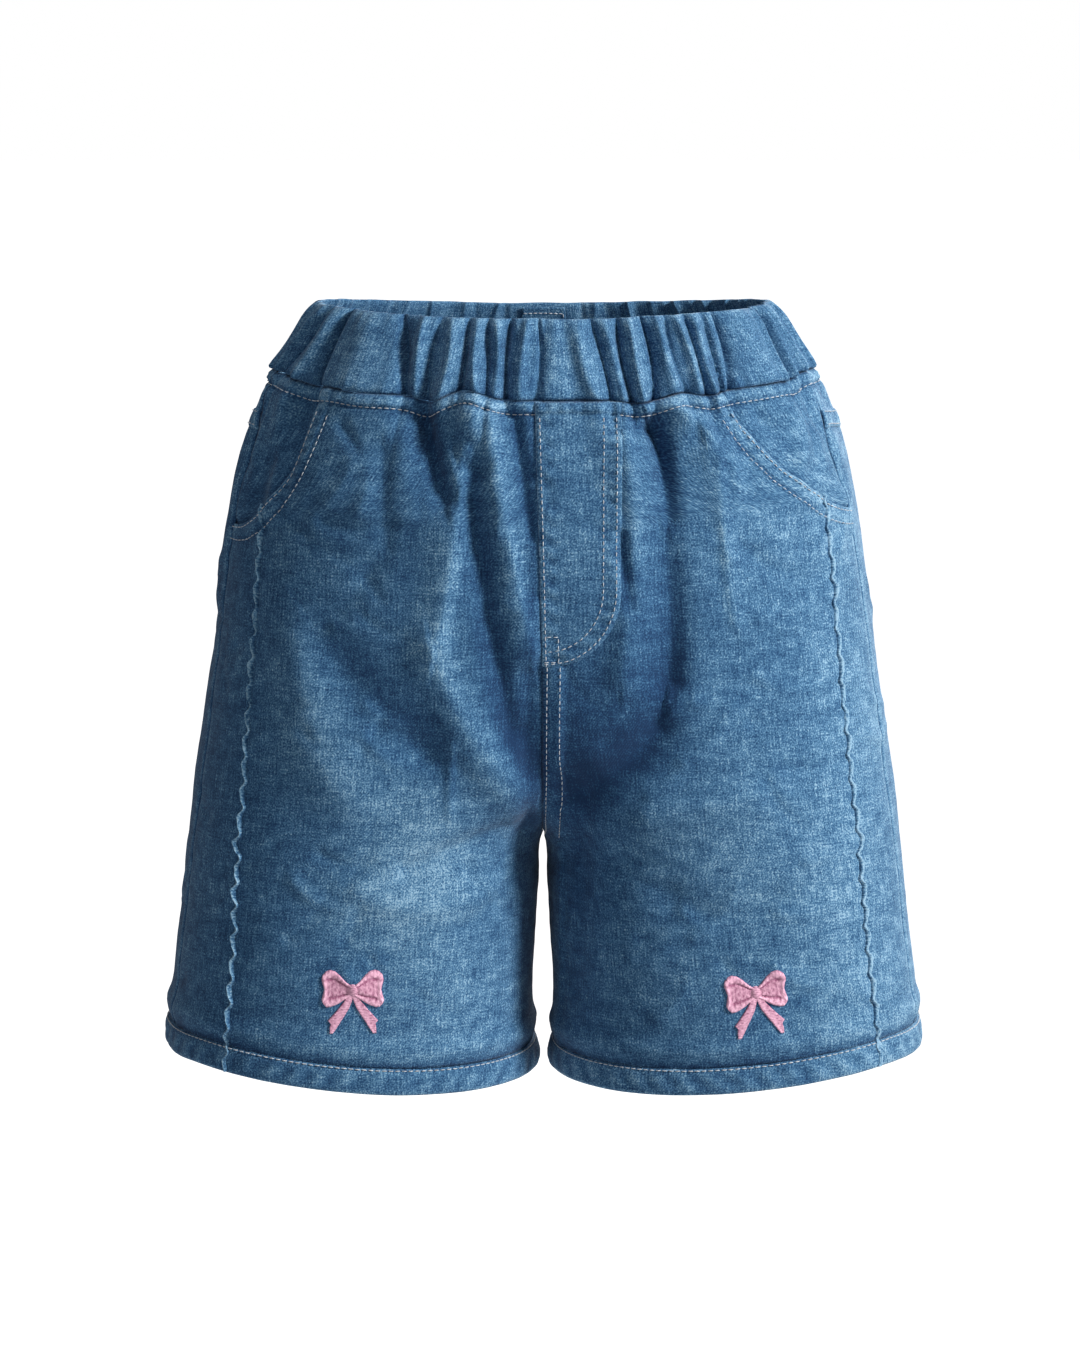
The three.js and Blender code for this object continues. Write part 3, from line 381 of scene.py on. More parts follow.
def gather_sum(degrees, up, spread=1.0):
    """The gathers at a number of degrees from the centre front: each leans from its place at the seam (up 0)
    to its place at the top edge (up 1), bends a little on the way and widens to one end. A puff falls off as
    a bell, and a pleat more sharply, with the power 1.1 and one wall steeper than the other."""
    total = np.zeros(np.shape(degrees))
    for index, (top, seam, height, width) in enumerate(GATHERS):
        turn = degrees - (seam + (top - seam) * up) - 0.9 * np.sin(17.0 * index) * np.sin(np.pi * up)
        turn = (turn - 360 * np.round(turn / 360)) / (1 + 0.6 * np.sin(7.0 * index) * (up - 0.5))
        if height < 0:
            turn = turn * np.where(turn * np.sin(3.7 * index + 0.5) > 0, 2.6, 1.25)
        power, rise = (2, 1.4) if height > 0 else (1.1, 1.75)
        total += rise * height * np.exp(-((np.abs(turn) / (width * spread)) ** power))
    return total


def ripple(u, v, size, seed):
    """Small uneven waves about as long as size: seven sine waves in seeded directions, added."""
    rng = np.random.default_rng(seed)
    total = 0
    directions, lengths, starts = rng.uniform(0, np.pi, 7), rng.uniform(0.7, 1.6, 7), rng.uniform(0, 6.3, 7)
    for direction, length, start in zip(directions, lengths, starts):
        along = u * np.cos(direction) + v * np.sin(direction)
        total = total + np.sin(along * 2 * np.pi / (size * length) + start)
    return total / 7


def relief(side, share, z):
    """How far the cloth stands off the plain form: folds, gathers that fade below the waist seam, the ridge
    of the seam allowance under it with small puckers, a swell over the hem, and uneven ripples."""
    below = seam_z(side, share) - z
    degrees = side * 180 * share
    folds = fold_sum(side, share, z) * (0.45 + 0.55 * smooth(0, 13, below))
    pleats = 0.55 * gather_sum(degrees, 0.0, 1.2) * np.exp(-np.maximum(below, 0) / 18)
    ridge = (1.3 + 0.55 * ripple(degrees, 0, 2.6, 5)) * smooth(0, 1.6, below)
    ridge = ridge * (1 - smooth(TURNING - 1.5, TURNING, below))
    groove = -0.7 * bell(below - TURNING - 0.5, 1)
    above_hem = z - hem_z(share) - HEM_DEPTH
    swell = (1.5 + 1.3 * ripple(degrees, 0, 26, 9)) * bell(above_hem - 9, 5) - bell(above_hem - 0.5, 1.8)
    uneven = 0.55 * ripple(degrees, z * 0.6, 22, 3) + 0.16 * ripple(degrees, z * 0.8, 6.5, 4)
    return folds + pleats + ridge + groove + swell + uneven * smooth(4, 30, below)


def cloth(side, share, z, lift=0.0):
    """The cloth's outer surface: the form, moved along its outward direction by the relief and a lift, and
    kept on its own side of the centre seam. The direction is level at the waist seam, which so keeps its
    height."""
    side, share, z = np.broadcast_arrays(side, share, z)
    normal = outward(side, share, z)
    normal[..., 2] *= smooth(-2, 14, seam_z(side, share) - z)
    normal /= np.linalg.norm(normal, axis=-1, keepdims=True)
    place = form(side, share, z) + normal * (relief(side, share, z) + lift)[..., None]
    place[..., 0] = side * np.maximum(side * place[..., 0], CENTRE_GAP)
    return place


def on_front(x, z, lift=0.0):
    """Points of the cloth at x and z as seen from the front."""
    x, z, lift = np.broadcast_arrays(x, z, lift)
    return cloth(np.where(x < 0, -1, 1), share_at_x(x, z), z, lift)


def run_along(points):
    """Distance along each row of a grid of points, from its first column."""
    steps = np.linalg.norm(np.diff(points, axis=1), axis=-1)
    return np.concatenate([np.zeros((len(points), 1)), np.cumsum(steps, 1)], 1)


def add_object(name, data):
    """A new object in the scene, at the origin."""
    obj = bpy.data.objects.new(name, data)
    bpy.context.scene.collection.objects.link(obj)
    return obj


def mesh_grid(name, points, uv, wear_and_shade, material, flip=False, closed=False):
    """A mesh of quads through a grid of points in millimetres, with a uv in millimetres and a wear at each,
    which also carries painted light and shade. A closed grid is a ring: its last column joins its first, and
    its last row its first."""
    rows, columns = points.shape[:2]
    index = np.arange(rows * columns).reshape(rows, columns)
    below, beside, across = (np.roll(index, shift, (0, 1)) for shift in ((-1, 0), (0, -1), (-1, -1)))
    quads = np.stack([index, beside, across, below], -1)
    quads = (quads if closed else quads[:-1, :-1]).reshape(-1, 4)
    if flip:
        quads = quads[:, ::-1]
    mesh = bpy.data.meshes.new(name)
    mesh.vertices.add(rows * columns)
    mesh.vertices.foreach_set("co", (points * MM).astype(np.float32).ravel())
    mesh.loops.add(quads.size)
    mesh.loops.foreach_set("vertex_index", quads.astype(np.int32).ravel())
    mesh.polygons.add(len(quads))
    mesh.polygons.foreach_set("loop_start", np.arange(0, quads.size, 4, dtype=np.int32))
    mesh.update(calc_edges=True)
    mesh.polygons.foreach_set("use_smooth", np.ones(len(quads), bool))
    flat_uv = (uv * MM).reshape(-1, 2)[quads.ravel()]
    if closed:  # the last quads end a whole turn on, not back at the start
        turn = flat_uv.reshape(-1, 4, 2)
        whole = np.ptp(flat_uv[:, 0])
        wrap = np.ptp(turn[..., 0], axis=1) > 0.5 * whole
        low = turn[..., 0] < flat_uv[:, 0].mean()
        turn[..., 0] += np.where(wrap[:, None] & low, whole, 0)
    mesh.uv_layers.new(name="Cloth").data.foreach_set("uv", flat_uv.astype(np.float32).ravel())
    mesh.attributes.new("wear_and_shade", "FLOAT", "POINT").data.foreach_set("value", wear_and_shade.astype(np.float32).ravel())
    mesh.materials.append(material)
    return add_object(name, mesh)


def thicken(obj, thick):
    """Gives a surface its wall, inwards from the outer face."""
    wall = obj.modifiers.new("Wall", "SOLIDIFY")
    wall.thickness, wall.offset = thick * MM, -1


def fades_and_painted_shade(points):
    """Where the wash has left the denim paler or deeper, and where light and shade are painted: bells of x
    and z for the fades on the thighs and the seat, with a painted highlight on the hip that faces the key
    light and painted shade low on the centre front; painted shade on the inner legs; the sides painted paler
    at plus x as lit and darker at minus x as shaded; and a painted shadow in the line under the fly's folded
    edge."""
    x, y, z = np.moveaxis(points, -1, 0)
    # Fades on the thighs, with a painted highlight on the hip at x 108 that faces the key light, and painted
    # shade on the centre front above the crotch at x 8 to 44.
    thigh_fades_and_shade = (0.4 * bell(x + 62, 32) * bell(z + 258, 46) + 0.16 * bell(x - 98, 40) * bell(z + 235, 60)
              + 0.22 * bell(x - 108, 30) * bell(z + 84, 44) - 0.14 * bell(x - 44, 15) * bell(z + 122, 34)
              + 0.12 * bell(x + 45, 30) * bell(z + 318, 30) - 0.06 * bell(x - 8, 62) * bell(z + 150, 52)
              - 0.3 * bell(x - 25, 31) * bell(z + 186, 31))
    # Painted shade on the inner legs, between them at the crotch.
    inner = -0.22 * bell(x - 14, 13) * bell(z + 245, 70) - 0.1 * bell(x + 8, 9) * bell(z + 260, 60)
    # Painted shadow under the fly's folded edge.
    fly_edge_shadow = -0.2 * bell(x + 6, 2.5) * smooth(-148, -140, z) * (x < 0)
    # The side at plus x painted paler as the lit side, the side at minus x painted darker as the shaded side.
    sides = 0.25 * smooth(112, 158, x) - 0.1 * smooth(120, 160, -x)
    seat = 0.2 * bell(np.abs(x) - 78, 46) * bell(z + 165, 52)
    return np.where(y < 0, thigh_fades_and_shade + inner + fly_edge_shadow, seat) + sides


def rubs_and_painted_shade(points):
    """The sum of the front's rubs, its painted shade and painted highlights, each found in the same way as a
    fold's height.
    """
    x, y, z = np.moveaxis(points, -1, 0)
    total = np.zeros(z.shape)
    for shade_stroke in RUBS_AND_PAINTED_SHADE:
        margin = FOLD_REACH * max(shade_stroke[-2:])
        low, high = np.min(shade_stroke[:3], 0) - margin, np.max(shade_stroke[:3], 0) + margin
        near = (y < 0) & (x > low[0]) & (x < high[0]) & (z > low[1]) & (z < high[1])
        if near.any():
            total[near] += fold_heights(x[near], z[near], shade_stroke)
    return total


def cloth_wear_and_shade(points, side, share, z):
    """How pale the denim is drawn, partly real wear and partly painted light and shade: paler on ridges and
    darker in troughs, and as the seams, fades and rubs change it."""
    raised = relief(side, share, z)
    below = seam_z(side, share) - z
    above_hem = z - hem_z(share) - HEM_DEPTH
    # Paler on the seam allowance's ridge under the waist seam and on the swell over the hem; painted shade in
    # the groove of the waist topstitching and just above the hem, and a painted shadow along the waist seam
    # under the band's overhang.
    edge_wear_and_shade = 0.14 * bell(below - 3, 2) - 0.16 * bell(below - 7, 1.3) - 0.2 * bell(below, 0.9)
    edge_wear_and_shade = edge_wear_and_shade - 0.24 * bell(above_hem - 1.2, 1.6) + 0.1 * bell(above_hem - 9, 4)
    worn_and_shaded = PLAIN_WEAR + WEAR_AND_SHADE_PER_MM * np.clip(raised, -8, 6) + edge_wear_and_shade + fades_and_painted_shade(points) + rubs_and_painted_shade(points)
    return np.clip(worn_and_shaded, DEEPEST, 1)


def add_node(tree, kind, *inputs, named={}, **settings):
    """A new shader node, with its own settings, and its inputs in order and by name: each gets a value, or a
    link from another node's output."""
    made = tree.nodes.new(f"ShaderNode{kind}")
    for key, value in settings.items():
        setattr(made, key, value)
    for key, value in [*enumerate(inputs), *named.items()]:
        if isinstance(value, bpy.types.NodeSocket):
            tree.links.new(value, made.inputs[key])
        else:
            made.inputs[key].default_value = value
    return made


def start_material(name, values):
    """A new material, its node tree, and its shader with a value for each input named."""
    material = bpy.data.materials.new(name)
    material.use_nodes = True
    shader = material.node_tree.nodes["Principled BSDF"]
    for key, value in values.items():
        shader.inputs[key].default_value = value
    return material, material.node_tree, shader


def denim_group():
    """Washed denim: fine mottle, upright slubs, level weft streaks, cloudy patches, pale hairlines where
    creases rubbed in the wash, and a twill line. Each is a noise of its own stretch on the cloth's uv. Their
    sum with the wear, which also carries painted light and shade, says how pale the denim is drawn: the
    bleached colour is raised to a power that falls as it does, as more dye takes red before it takes blue."""
    group = bpy.data.node_groups.new("Washed denim", "ShaderNodeTree")
    for way, name, kind in (("INPUT", "Cloth", "Vector"), ("INPUT", "Wear and shade", "Float"),
                            ("INPUT", "Bleached", "Color"), ("OUTPUT", "Color", "Color"),
                            ("OUTPUT", "Height", "Float")):
        group.interface.new_socket(name, in_out=way, socket_type=f"NodeSocket{kind}")
    start, end = group.nodes.new("NodeGroupInput"), group.nodes.new("NodeGroupOutput")
    cloth_uv = start.outputs["Cloth"]

    def join(operation, first, second=0):
        return add_node(group, "Math", first, second, operation=operation).outputs[0]

    def noise(across, up, detail, weight):
        stretch = add_node(group, "VectorMath", cloth_uv, (across, up, 1), operation="MULTIPLY")
        texture = add_node(group, "TexNoise", stretch.outputs[0], named={"Scale": 1, "Detail": detail})
        return join("MULTIPLY", join("SUBTRACT", texture.outputs[0], 0.5), weight)

    # a twill line every 1.1 mm, leaning to the right
    twill = add_node(group, "VectorMath", cloth_uv, (4700, -3300, 0), operation="DOT_PRODUCT")
    line = join("SINE", twill.outputs["Value"])
    mottle = noise(1150, 1150, 3, 2.2)
    slub = noise(1000, 90, 2, 0.95)
    weft = noise(150, 900, 2, 0.6)
    cloud = noise(90, 170, 4, 0.85)
    broad = noise(13, 22, 3, 0.5)
    crease = join("MAXIMUM", join("SUBTRACT", 1, join("MULTIPLY", join("ABSOLUTE", noise(85, 70, 3, 1)), 55)))
    crease = join("MULTIPLY", crease, join("MAXIMUM", noise(40, 40, 1, 1.2)))
    washed_and_shaded = start.outputs["Wear and shade"]
    for part in (mottle, slub, weft, cloud, broad, crease, join("MULTIPLY", line, 0.05)):
        washed_and_shaded = join("ADD", washed_and_shaded, part)
    dye = add_node(group, "MapRange", washed_and_shaded, named={"From Min": DEEPEST, "To Min": 5.2, "To Max": 1.35})
    colour = add_node(group, "Gamma", start.outputs["Bleached"], dye.outputs["Result"])
    group.links.new(colour.outputs["Color"], end.inputs["Color"])
    height = join("ADD", join("MULTIPLY", line, 0.25), join("ADD", mottle, join("MULTIPLY", slub, 0.7)))
    group.links.new(height, end.inputs["Height"])
    return group


# The denim's finish: the group's colour, its height as a fine bump, and a soft sheen.
washed_denim, tree, shader = start_material(
    "washed denim", {"Roughness": 0.9, "Sheen Weight": 0.06, "Specular IOR Level": 0.25})
uv_map = add_node(tree, "UVMap", uv_map="Cloth")
# The wear attribute holds real wear together with painted light and shade.
wear_and_shade_map = add_node(tree, "Attribute", attribute_name="wear_and_shade")
denim = add_node(tree, "Group", uv_map.outputs["UV"], wear_and_shade_map.outputs["Fac"], (0.35, 0.5, 0.62, 1),
                 node_tree=denim_group())
bump = add_node(tree, "Bump", named={"Strength": 0.4, "Distance": 0.0003, "Height": denim.outputs["Height"]})
tree.links.new(denim.outputs["Color"], shader.inputs["Base Color"])
tree.links.new(bump.outputs["Normal"], shader.inputs["Normal"])


def between(start, end, u):
    """Shares from one edge to another, drawn in by a hair at each."""
    return start + HAIR + (end - start - 2 * HAIR) * u


def seam_sink(points, left=0.9, right=0.9):
    """Cloth dips into the seams at its two ends: e to the minus the distance over 1.2 mm."""
    run = run_along(points)
    return -left * np.exp(-run / 1.2) - right * np.exp(-(run[:, -1:] - run) / 1.2)


def seam_wear(points, left=1.0, right=1.0):
    """The turnings under a seam wear pale beside it, and its line stays dark."""
    run = run_along(points)
    return sum(share * (0.17 * bell(away - 3, 1.8) - 0.3 * bell(away, 0.9))
               for share, away in ((left, run), (right, run[:, -1:] - run)))


def lap_left(points, column):
    """Draws one end column of the wearer's left cloth over the centre seam, where the legs are joined."""
    over = -0.9 * smooth(-243, -236, points[:, column, 2])
    edge = points[:, column, 0]
    points[:, column, 0] = np.where(over < -0.01, np.minimum(edge, over), edge)


def dress(obj, nodes):
    """Ties a cloth piece to the body, and hides the CAD nodes that it stands for."""
    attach(obj, "root")
    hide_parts(*nodes)


def panel(kind, nodes, side, share, z, lift, wear_and_shade, thick=DENIM_THICK, zero=0,
          lap=None):
    """One cut piece: the cloth at its shares and heights, raised by a lift, with a change to its wear and
    painted shade. Its uv runs along the plain form from the column zero, and lap is the column that laps over
    the centre seam."""
    points = cloth(side, share, z, lift)
    if side > 0 and lap is not None:
        lap_left(points, lap)
    run = run_along(form(side, share, z))
    uv = np.stack([side * (run - run[:, [zero]]), z], -1)
    worn_and_shaded = cloth_wear_and_shade(points, side, share, z) + wear_and_shade
    piece = mesh_grid(f"{kind}_{SIDE_NAME[side]}", points, uv, worn_and_shaded, washed_denim, flip=side > 0)
    thicken(piece, thick)
    dress(piece, [f"{node}_{SIDE_NAME[side]}" for node in nodes])


def corner_down(side):
    """The depth where the pocket's mouth meets the ruffled seam, found by turns."""
    down = np.array(float(POCKET[side][1]))
    for turn in range(30):
        down = pocket_down(side, ruffle_share(side, down))
    return down


def front_edge(side, down):
    """The outer edge of a front panel: the pocket's mouth, and the ruffled seam under it."""
    mouth = pocket_share(side, np.minimum(down, corner_down(side)))
    return np.where(down < corner_down(side), mouth, ruffle_share(side, down))


def distance_to(points, line):
    """Millimetres from each point of a grid to the nearest point of a line."""
    flat = points.reshape(-1, 3)
    distance = np.full(len(flat), np.inf)
    for spot in line:
        distance = np.minimum(distance, np.linalg.norm(flat - spot, axis=1))
    return distance.reshape(points.shape[:-1])


def turned_edge(from_mouth):
    """The pocket's turned edge stands 0.45 mm proud, with a groove along its inner row of stitches."""
    return 0.45 * (1 - smooth(6.6, 8, from_mouth)) - 0.35 * bell(from_mouth - 7.4, 0.9)


for side in SIDE_NAME:
    down = np.concatenate([np.linspace(0.1, 9, 14), np.linspace(9.8, HEM_TOP, 210)])[:, None]
    share = between(0, front_edge(side, down), np.linspace(0, 1, 136))
    z = row_z(side, share, down)
    plain = form(side, share, z)
    mouth_down = np.linspace(0, float(corner_down(side)), 60)
    mouth = pocket_share(side, mouth_down)
    from_mouth = distance_to(plain, form(side, mouth, row_z(side, mouth, mouth_down)))
    pucker = np.sin(run_along(plain.transpose(1, 0, 2)).T / 1.1) * bell(from_mouth - 4, 2.2)
    lift = seam_sink(plain, 0.6, 0.5) + turned_edge(from_mouth) + 0.45 * pucker
    if side > 0:  # the left front lies over the right along the centre seam
        lift = lift + 1.2 * (1 - smooth(8, 9.5, plain[..., 0])) * smooth(140, 150, -z)
    # Pale along the pocket's turned edge and on the puckers' crests from wear, and a painted shade along the
    # groove of the inner row of stitches.
    wear_and_shade = (0.1 * (1 - smooth(5, 8, from_mouth)) + 0.25 * bell(from_mouth, 1.1) + 0.16 * pucker
            - 0.14 * bell(from_mouth - 8, 1.2) + seam_wear(plain, 0.4, 0))
    panel("front_cloth", ["front_panel", "pocket_edge"], side, share, z, lift, wear_and_shade,
          zero=-1, lap=0)

# The narrow side fronts: the same denim, between the ruffled seam and the side seam, and topped by the last
# stretch of the pocket's mouth.
for side in SIDE_NAME:
    u = np.linspace(0, 1, 32)
    low_end = side_share(np.array(float(POCKET[side][1])))
    top = pocket_down(side, between(ruffle_share(side, corner_down(side)), low_end, u))
    down = top + (HEM_TOP - top) * np.linspace(0, 1, 180)[:, None] ** 1.1
    share = between(ruffle_share(side, down), side_share(down), u)
    z = row_z(side, share, down)
    plain = form(side, share, z)
    lift = seam_sink(plain, 0.5, 0.8) + turned_edge(down - top)
    wear_and_shade = 0.1 * (1 - smooth(5, 8, down - top)) + seam_wear(plain, 0, 1)
    panel("side_front_cloth", ["front_side_panel"], side, share, z, lift, wear_and_shade)

# The hip pieces inside the pocket mouths: the same denim, with a painted shadow of the mouth's edge just
# behind it. They lie just behind the mouth and come flush at the side seam.
for side in SIDE_NAME:
    down = np.linspace(0.1, POCKET[side][1] + 8, 60)[:, None]
    u = np.linspace(0, 1, 40)
    mouth = pocket_share(side, down)
    share = between(mouth - along_row(mouth, row_z(side, mouth, down), 10), side_share(down), u)
    z = row_z(side, share, down)
    plain = form(side, share, z)
    flush = smooth(0.4, 1, u) * (1 - smooth(-3, 0, down - pocket_down(side, share)))
    lift = -(DENIM_THICK + 0.6) * (1 - flush) + seam_sink(plain, 0, 0.7)
    # A darker band just behind the mouth's edge: a painted shadow of the mouth.
    wear_and_shade = seam_wear(plain, 0, 0.7) - 0.3 * bell(run_along(plain) - 9, 4)
    panel("hip_cloth", ["pocket_hip_piece"], side, share, z, lift, wear_and_shade,
          thick=1)

# The back yokes and back panels: the same denim. Each yoke is felled over its panel with two rows of
# stitching, so its lower edge stands a little proud.
YOKE_SIDE, YOKE_CENTRE, YOKE_SEAM = 28.0, 55.0, 8.0


def yoke_down(u):
    """Depth of the yoke, from the side seam (0) to the centre back (1)."""
    return YOKE_SIDE + (YOKE_CENTRE - YOKE_SIDE) * smooth(0, 1, u)


for side in SIDE_NAME:
    u = np.linspace(0, 1, 114)
    down = 0.1 + (yoke_down(u) - 0.1) * np.linspace(0, 1, 42)[:, None]
    share = between(side_share(down), 1, u)
    z = row_z(side, share, down)
    plain = form(side, share, z)
    to_edge = yoke_down(u) - down
    proud = 0.9 * (1 - smooth(YOKE_SEAM, YOKE_SEAM + 1.2, to_edge)) - 0.8 * np.exp(-to_edge / 0.7)
    pucker = 0.35 * np.sin(run_along(plain) / 1.2) * bell(to_edge - 4, 2.4)
    lift = seam_sink(plain) + proud + pucker
    wear_and_shade = 0.15 * bell(to_edge - 1, 2) + 0.4 * pucker + seam_wear(plain)
    panel("yoke_cloth", ["back_yoke"], side, share, z, lift, wear_and_shade, lap=-1)

    down = yoke_down(u) - 1 + (HEM_TOP - yoke_down(u) + 1) * np.linspace(0, 1, 160)[:, None]
    share = between(side_share(down), 1, u)
    z = row_z(side, share, down)
    plain = form(side, share, z)
    panel("back_cloth", ["back_panel"], side, share, z, seam_sink(plain), seam_wear(plain),
          lap=-1)

# The hems: the foot of each leg, turned up inside twice and stitched down, so a soft double edge that ropes a
# little along its length.
for side, name in SIDE_NAME.items():
    share = np.linspace(0, 1, 360)[None, :-1]
    step = np.array([  # up from the hem's edge, out
        (13.5, -0.7), (13.1, 0.1), (12.2, 0.6), (10, 0.8), (7, 0.9), (4, 0.9), (2, 0.75), (0.8, 0.35),
        (0.1, -0.4), (0, -1.2), (0.3, -2), (1.2, -2.6), (4, -2.8), (8, -2.8), (12, -2.6), (13.4, -2.2)])
    halves = [step[:-1] + (step[1:] - step[:-1]) * part for part in (0, 0.5)]
    profile = np.concatenate(halves, 1).reshape(-1, 2)
    profile = np.concatenate([profile, step[-1:]])
    up, lift = profile[:, :1], profile[:, 1:]
    z = hem_z(share) + up
    round_it = run_along(form(side, share, z))
    rope = 0.4 * np.sin((round_it + 0.8 * up) * 2 * np.pi / 13 + 2 * ripple(round_it, 0, 60, 11))
    rope = rope * bell(up - 6.5, 4.5)
    inseam = 1.4 * (bell(share, 0.05) + bell(share - 1, 0.05)) * bell(up - 4, 7)
    wave = 0.5 * ripple(round_it, 0, 40, 12 + side)
    points = cloth(side, share, z, lift + rope + wave + inseam)
    uv = np.stack([side * round_it, z], -1)
    wear_and_shade = np.clip(0.42 + 0.42 * rope * (lift > -0.8) + 0.25 * bell(up, 1.4) + fades_and_painted_shade(points), 0, 1)
    hem = mesh_grid(f"hem_cloth_{name}", points, uv, wear_and_shade, washed_denim, flip=side > 0, closed=True)
    dress(hem, [f"hem_{name}"])

# The waistband: denim folded over a wide elastic and gathered by it all round, so it puffs between its pleats
# and overhangs the seam below.
BAND_TOP_SIDE, BAND_TOP_DEPTH, BAND_TOP_Z, BAND_SIDE_RISE = 112.0, 72.0, 18.0, 5.0


def band(degrees, up, out, deep):
    """Points of the waistband: the way from the waist seam (up 0) to a smaller squared ellipse (up 1), moved
    out level by out plus the gathers, times deep."""
    angle = np.radians(degrees)
    share = np.abs(degrees - 360 * np.round(degrees / 360)) / 180
    side = np.where(np.sin(angle) < 0, -1, 1)
    seam = seam_z(side, share)
    low = form(side, share, seam)
    round_it = squarer(angle)
    top = np.stack([BAND_TOP_SIDE * np.sin(angle) * round_it, -BAND_TOP_DEPTH * np.cos(angle) * round_it,
                    BAND_TOP_Z + BAND_SIDE_RISE * np.sin(angle) ** 2 + 0.5 * ripple(degrees, 0, 14, 21)], -1)
    pull = 0.45 * fold_sum(side, share, seam) * np.clip(1 - up, 0, 1) ** 2
    normal = outward(side, share, seam)
    normal[..., 2] = 0
    normal /= np.linalg.norm(normal, axis=-1, keepdims=True)
    flat = 1 - bell(np.abs(degrees - 360 * np.round(degrees / 360)) - 180, 7)
    ends = bell(up, 0.22) + bell(up - 1, 0.2)
    off = out + deep * flat * (gather_sum(degrees, up) + 1.1 * ends * ripple(degrees, up * 3, 3.4, 22)) + pull
    return low + (top - low) * np.asarray(up)[..., None] + normal * off[..., None]


steps = np.array([  # up, out, how much of the gathers
    (0, -2.6, 0.55), (0, -1.2, 0.7), (0.02, 0.2, 0.9), (0.06, 1.1, 1), (0.14, 1.4, 1), (0.27, 1.1, 1),
    (0.42, 0.8, 1), (0.54, 0.8, 1), (0.66, 0.9, 1), (0.78, 1, 1), (0.88, 1, 0.86), (0.95, 0.7, 0.7),
    (0.99, 0, 0.58), (1.01, -0.9, 0.48), (1, -1.9, 0.42), (0.96, -2.6, 0.38), (0.88, -3, 0.36),
    (0.7, -3.3, 0.34), (0.5, -3.6, 0.34), (0.3, -3.9, 0.34), (0.12, -4.1, 0.34), (0, -4.2, 0.34)])
fine = np.linspace(0, len(steps) - 1, 50)
up, out, deep = (np.interp(fine, np.arange(len(steps)), steps[:, i])[:, None] for i in range(3))
degrees = np.linspace(0, 360, 1080)[:-1][None, :] + 0 * up
up, out, deep = (np.broadcast_to(value, degrees.shape) for value in (up, out, deep))
points = band(degrees, up, out, deep)
round_it = run_along(points)[25:26] + 0 * up
uv = np.stack([round_it * 1.15, -35 + 42 * up * np.where(out > -1.5, 1, -1)], -1)
height = gather_sum(degrees, up) * np.where(out > -1.5, 1, 0.4)
# Paler on the puffs and darker in the pleats, partly real wear and partly painted light and shade; worn pale
# along the folded top edge; a painted shadow along the seam under the overhang; the inside a little darker.
wear_and_shade = 0.4 + 0.03 * height + 0.12 * bell(up - 1, 0.1) - 0.16 * bell(up, 0.05) - 0.03 * (out < -1.5)
wear_and_shade = np.clip(wear_and_shade, 0, 1)
waist = mesh_grid("waistband_cloth", points, uv, wear_and_shade, washed_denim, flip=True, closed=True)
dress(waist, ["waistband"])

# Topstitching: off-white thread in two-needle and single rows, each stitch a short thread that dips into the
# cloth at both ends.
thread, tree, shader = start_material("topstitch thread", {"Roughness": 0.7})
position = add_node(tree, "TexCoord")
spots = add_node(tree, "TexNoise", position.outputs["Object"], named={"Scale": 260})
tint = add_node(tree, "Mix", spots.outputs[0], named={6: (0.22, 0.27, 0.33, 1), 7: (0.66, 0.68, 0.71, 1)},
                data_type="RGBA")
tree.links.new(tint.outputs[2], shader.inputs["Base Color"])


def sew(name, lines, pitch=3.3, length=2.4, radius=0.24):
    """Stitches along lines of (points, outward directions): each is a six-sided thread carried along five
    stations, thin and sunk at both ends, set every pitch along the line."""
    station = np.array([  # along, how thick, up
        (-0.5, 0.1, -0.25), (-0.34, 0.85, 0.1), (0, 1, 0.22), (0.34, 0.85, 0.1), (0.5, 0.1, -0.25)])
    ring = np.arange(6)
    turn = ring * np.pi / 3
    along = np.repeat(station[:, 0], 6) * length
    across = (station[:, 1:2] * np.cos(turn)).ravel() * radius
    up = (station[:, 1:2] * np.sin(turn)).ravel() * radius + np.repeat(station[:, 2], 6)
    after = (ring + 1) % 6
    faces = [np.stack([k + ring, k + after, k + 6 + after, k + 6 + ring], -1) for k in (0, 6, 12, 18)]
    faces = np.concatenate([*faces, [[0, 3, 2, 1], [0, 5, 4, 3], [24, 25, 26, 27], [24, 27, 28, 29]]])
    centres, ways, outs = [], [], []
    for points, normals in lines:
        reach = np.concatenate([[0], np.cumsum(np.linalg.norm(np.diff(points, axis=0), axis=1))])
        at = np.arange(pitch / 2, reach[-1], pitch)
        spot, tail, head, normal = (
            np.stack([np.interp(at + shift, reach, value[:, i]) for i in range(3)], -1)
            for shift, value in ((0, points), (-length / 2, points), (length / 2, points), (0, normals)))
        way = (head - tail) / np.linalg.norm(head - tail, axis=1, keepdims=True)
        normal = normal - way * (normal * way).sum(1, keepdims=True)
        centres.append(spot)
        ways.append(way)
        outs.append(normal / np.linalg.norm(normal, axis=1, keepdims=True))
    centres, ways, outs = (np.concatenate(values)[:, None, :] for values in (centres, ways, outs))
    sides = np.cross(outs, ways)
    corners = centres + ways * along[None, :, None] + sides * across[None, :, None] + outs * up[None, :, None]
    every = (faces[None] + len(along) * np.arange(len(centres))[:, None, None]).reshape(-1, 4)
    mesh = bpy.data.meshes.new(name)
    mesh.from_pydata((corners.reshape(-1, 3) * MM).tolist(), [], every.tolist())
    mesh.polygons.foreach_set("use_smooth", np.ones(len(every), bool))
    mesh.materials.append(thread)
    stitches = add_object(name, mesh)
    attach(stitches, "root")


def line_on_cloth(side, share, z, lift):
    """A line at shares of the way round, with its outward directions."""
    low, high = cloth(side, share, z, lift), cloth(side, share, z, lift + 1)
    return low, high - low


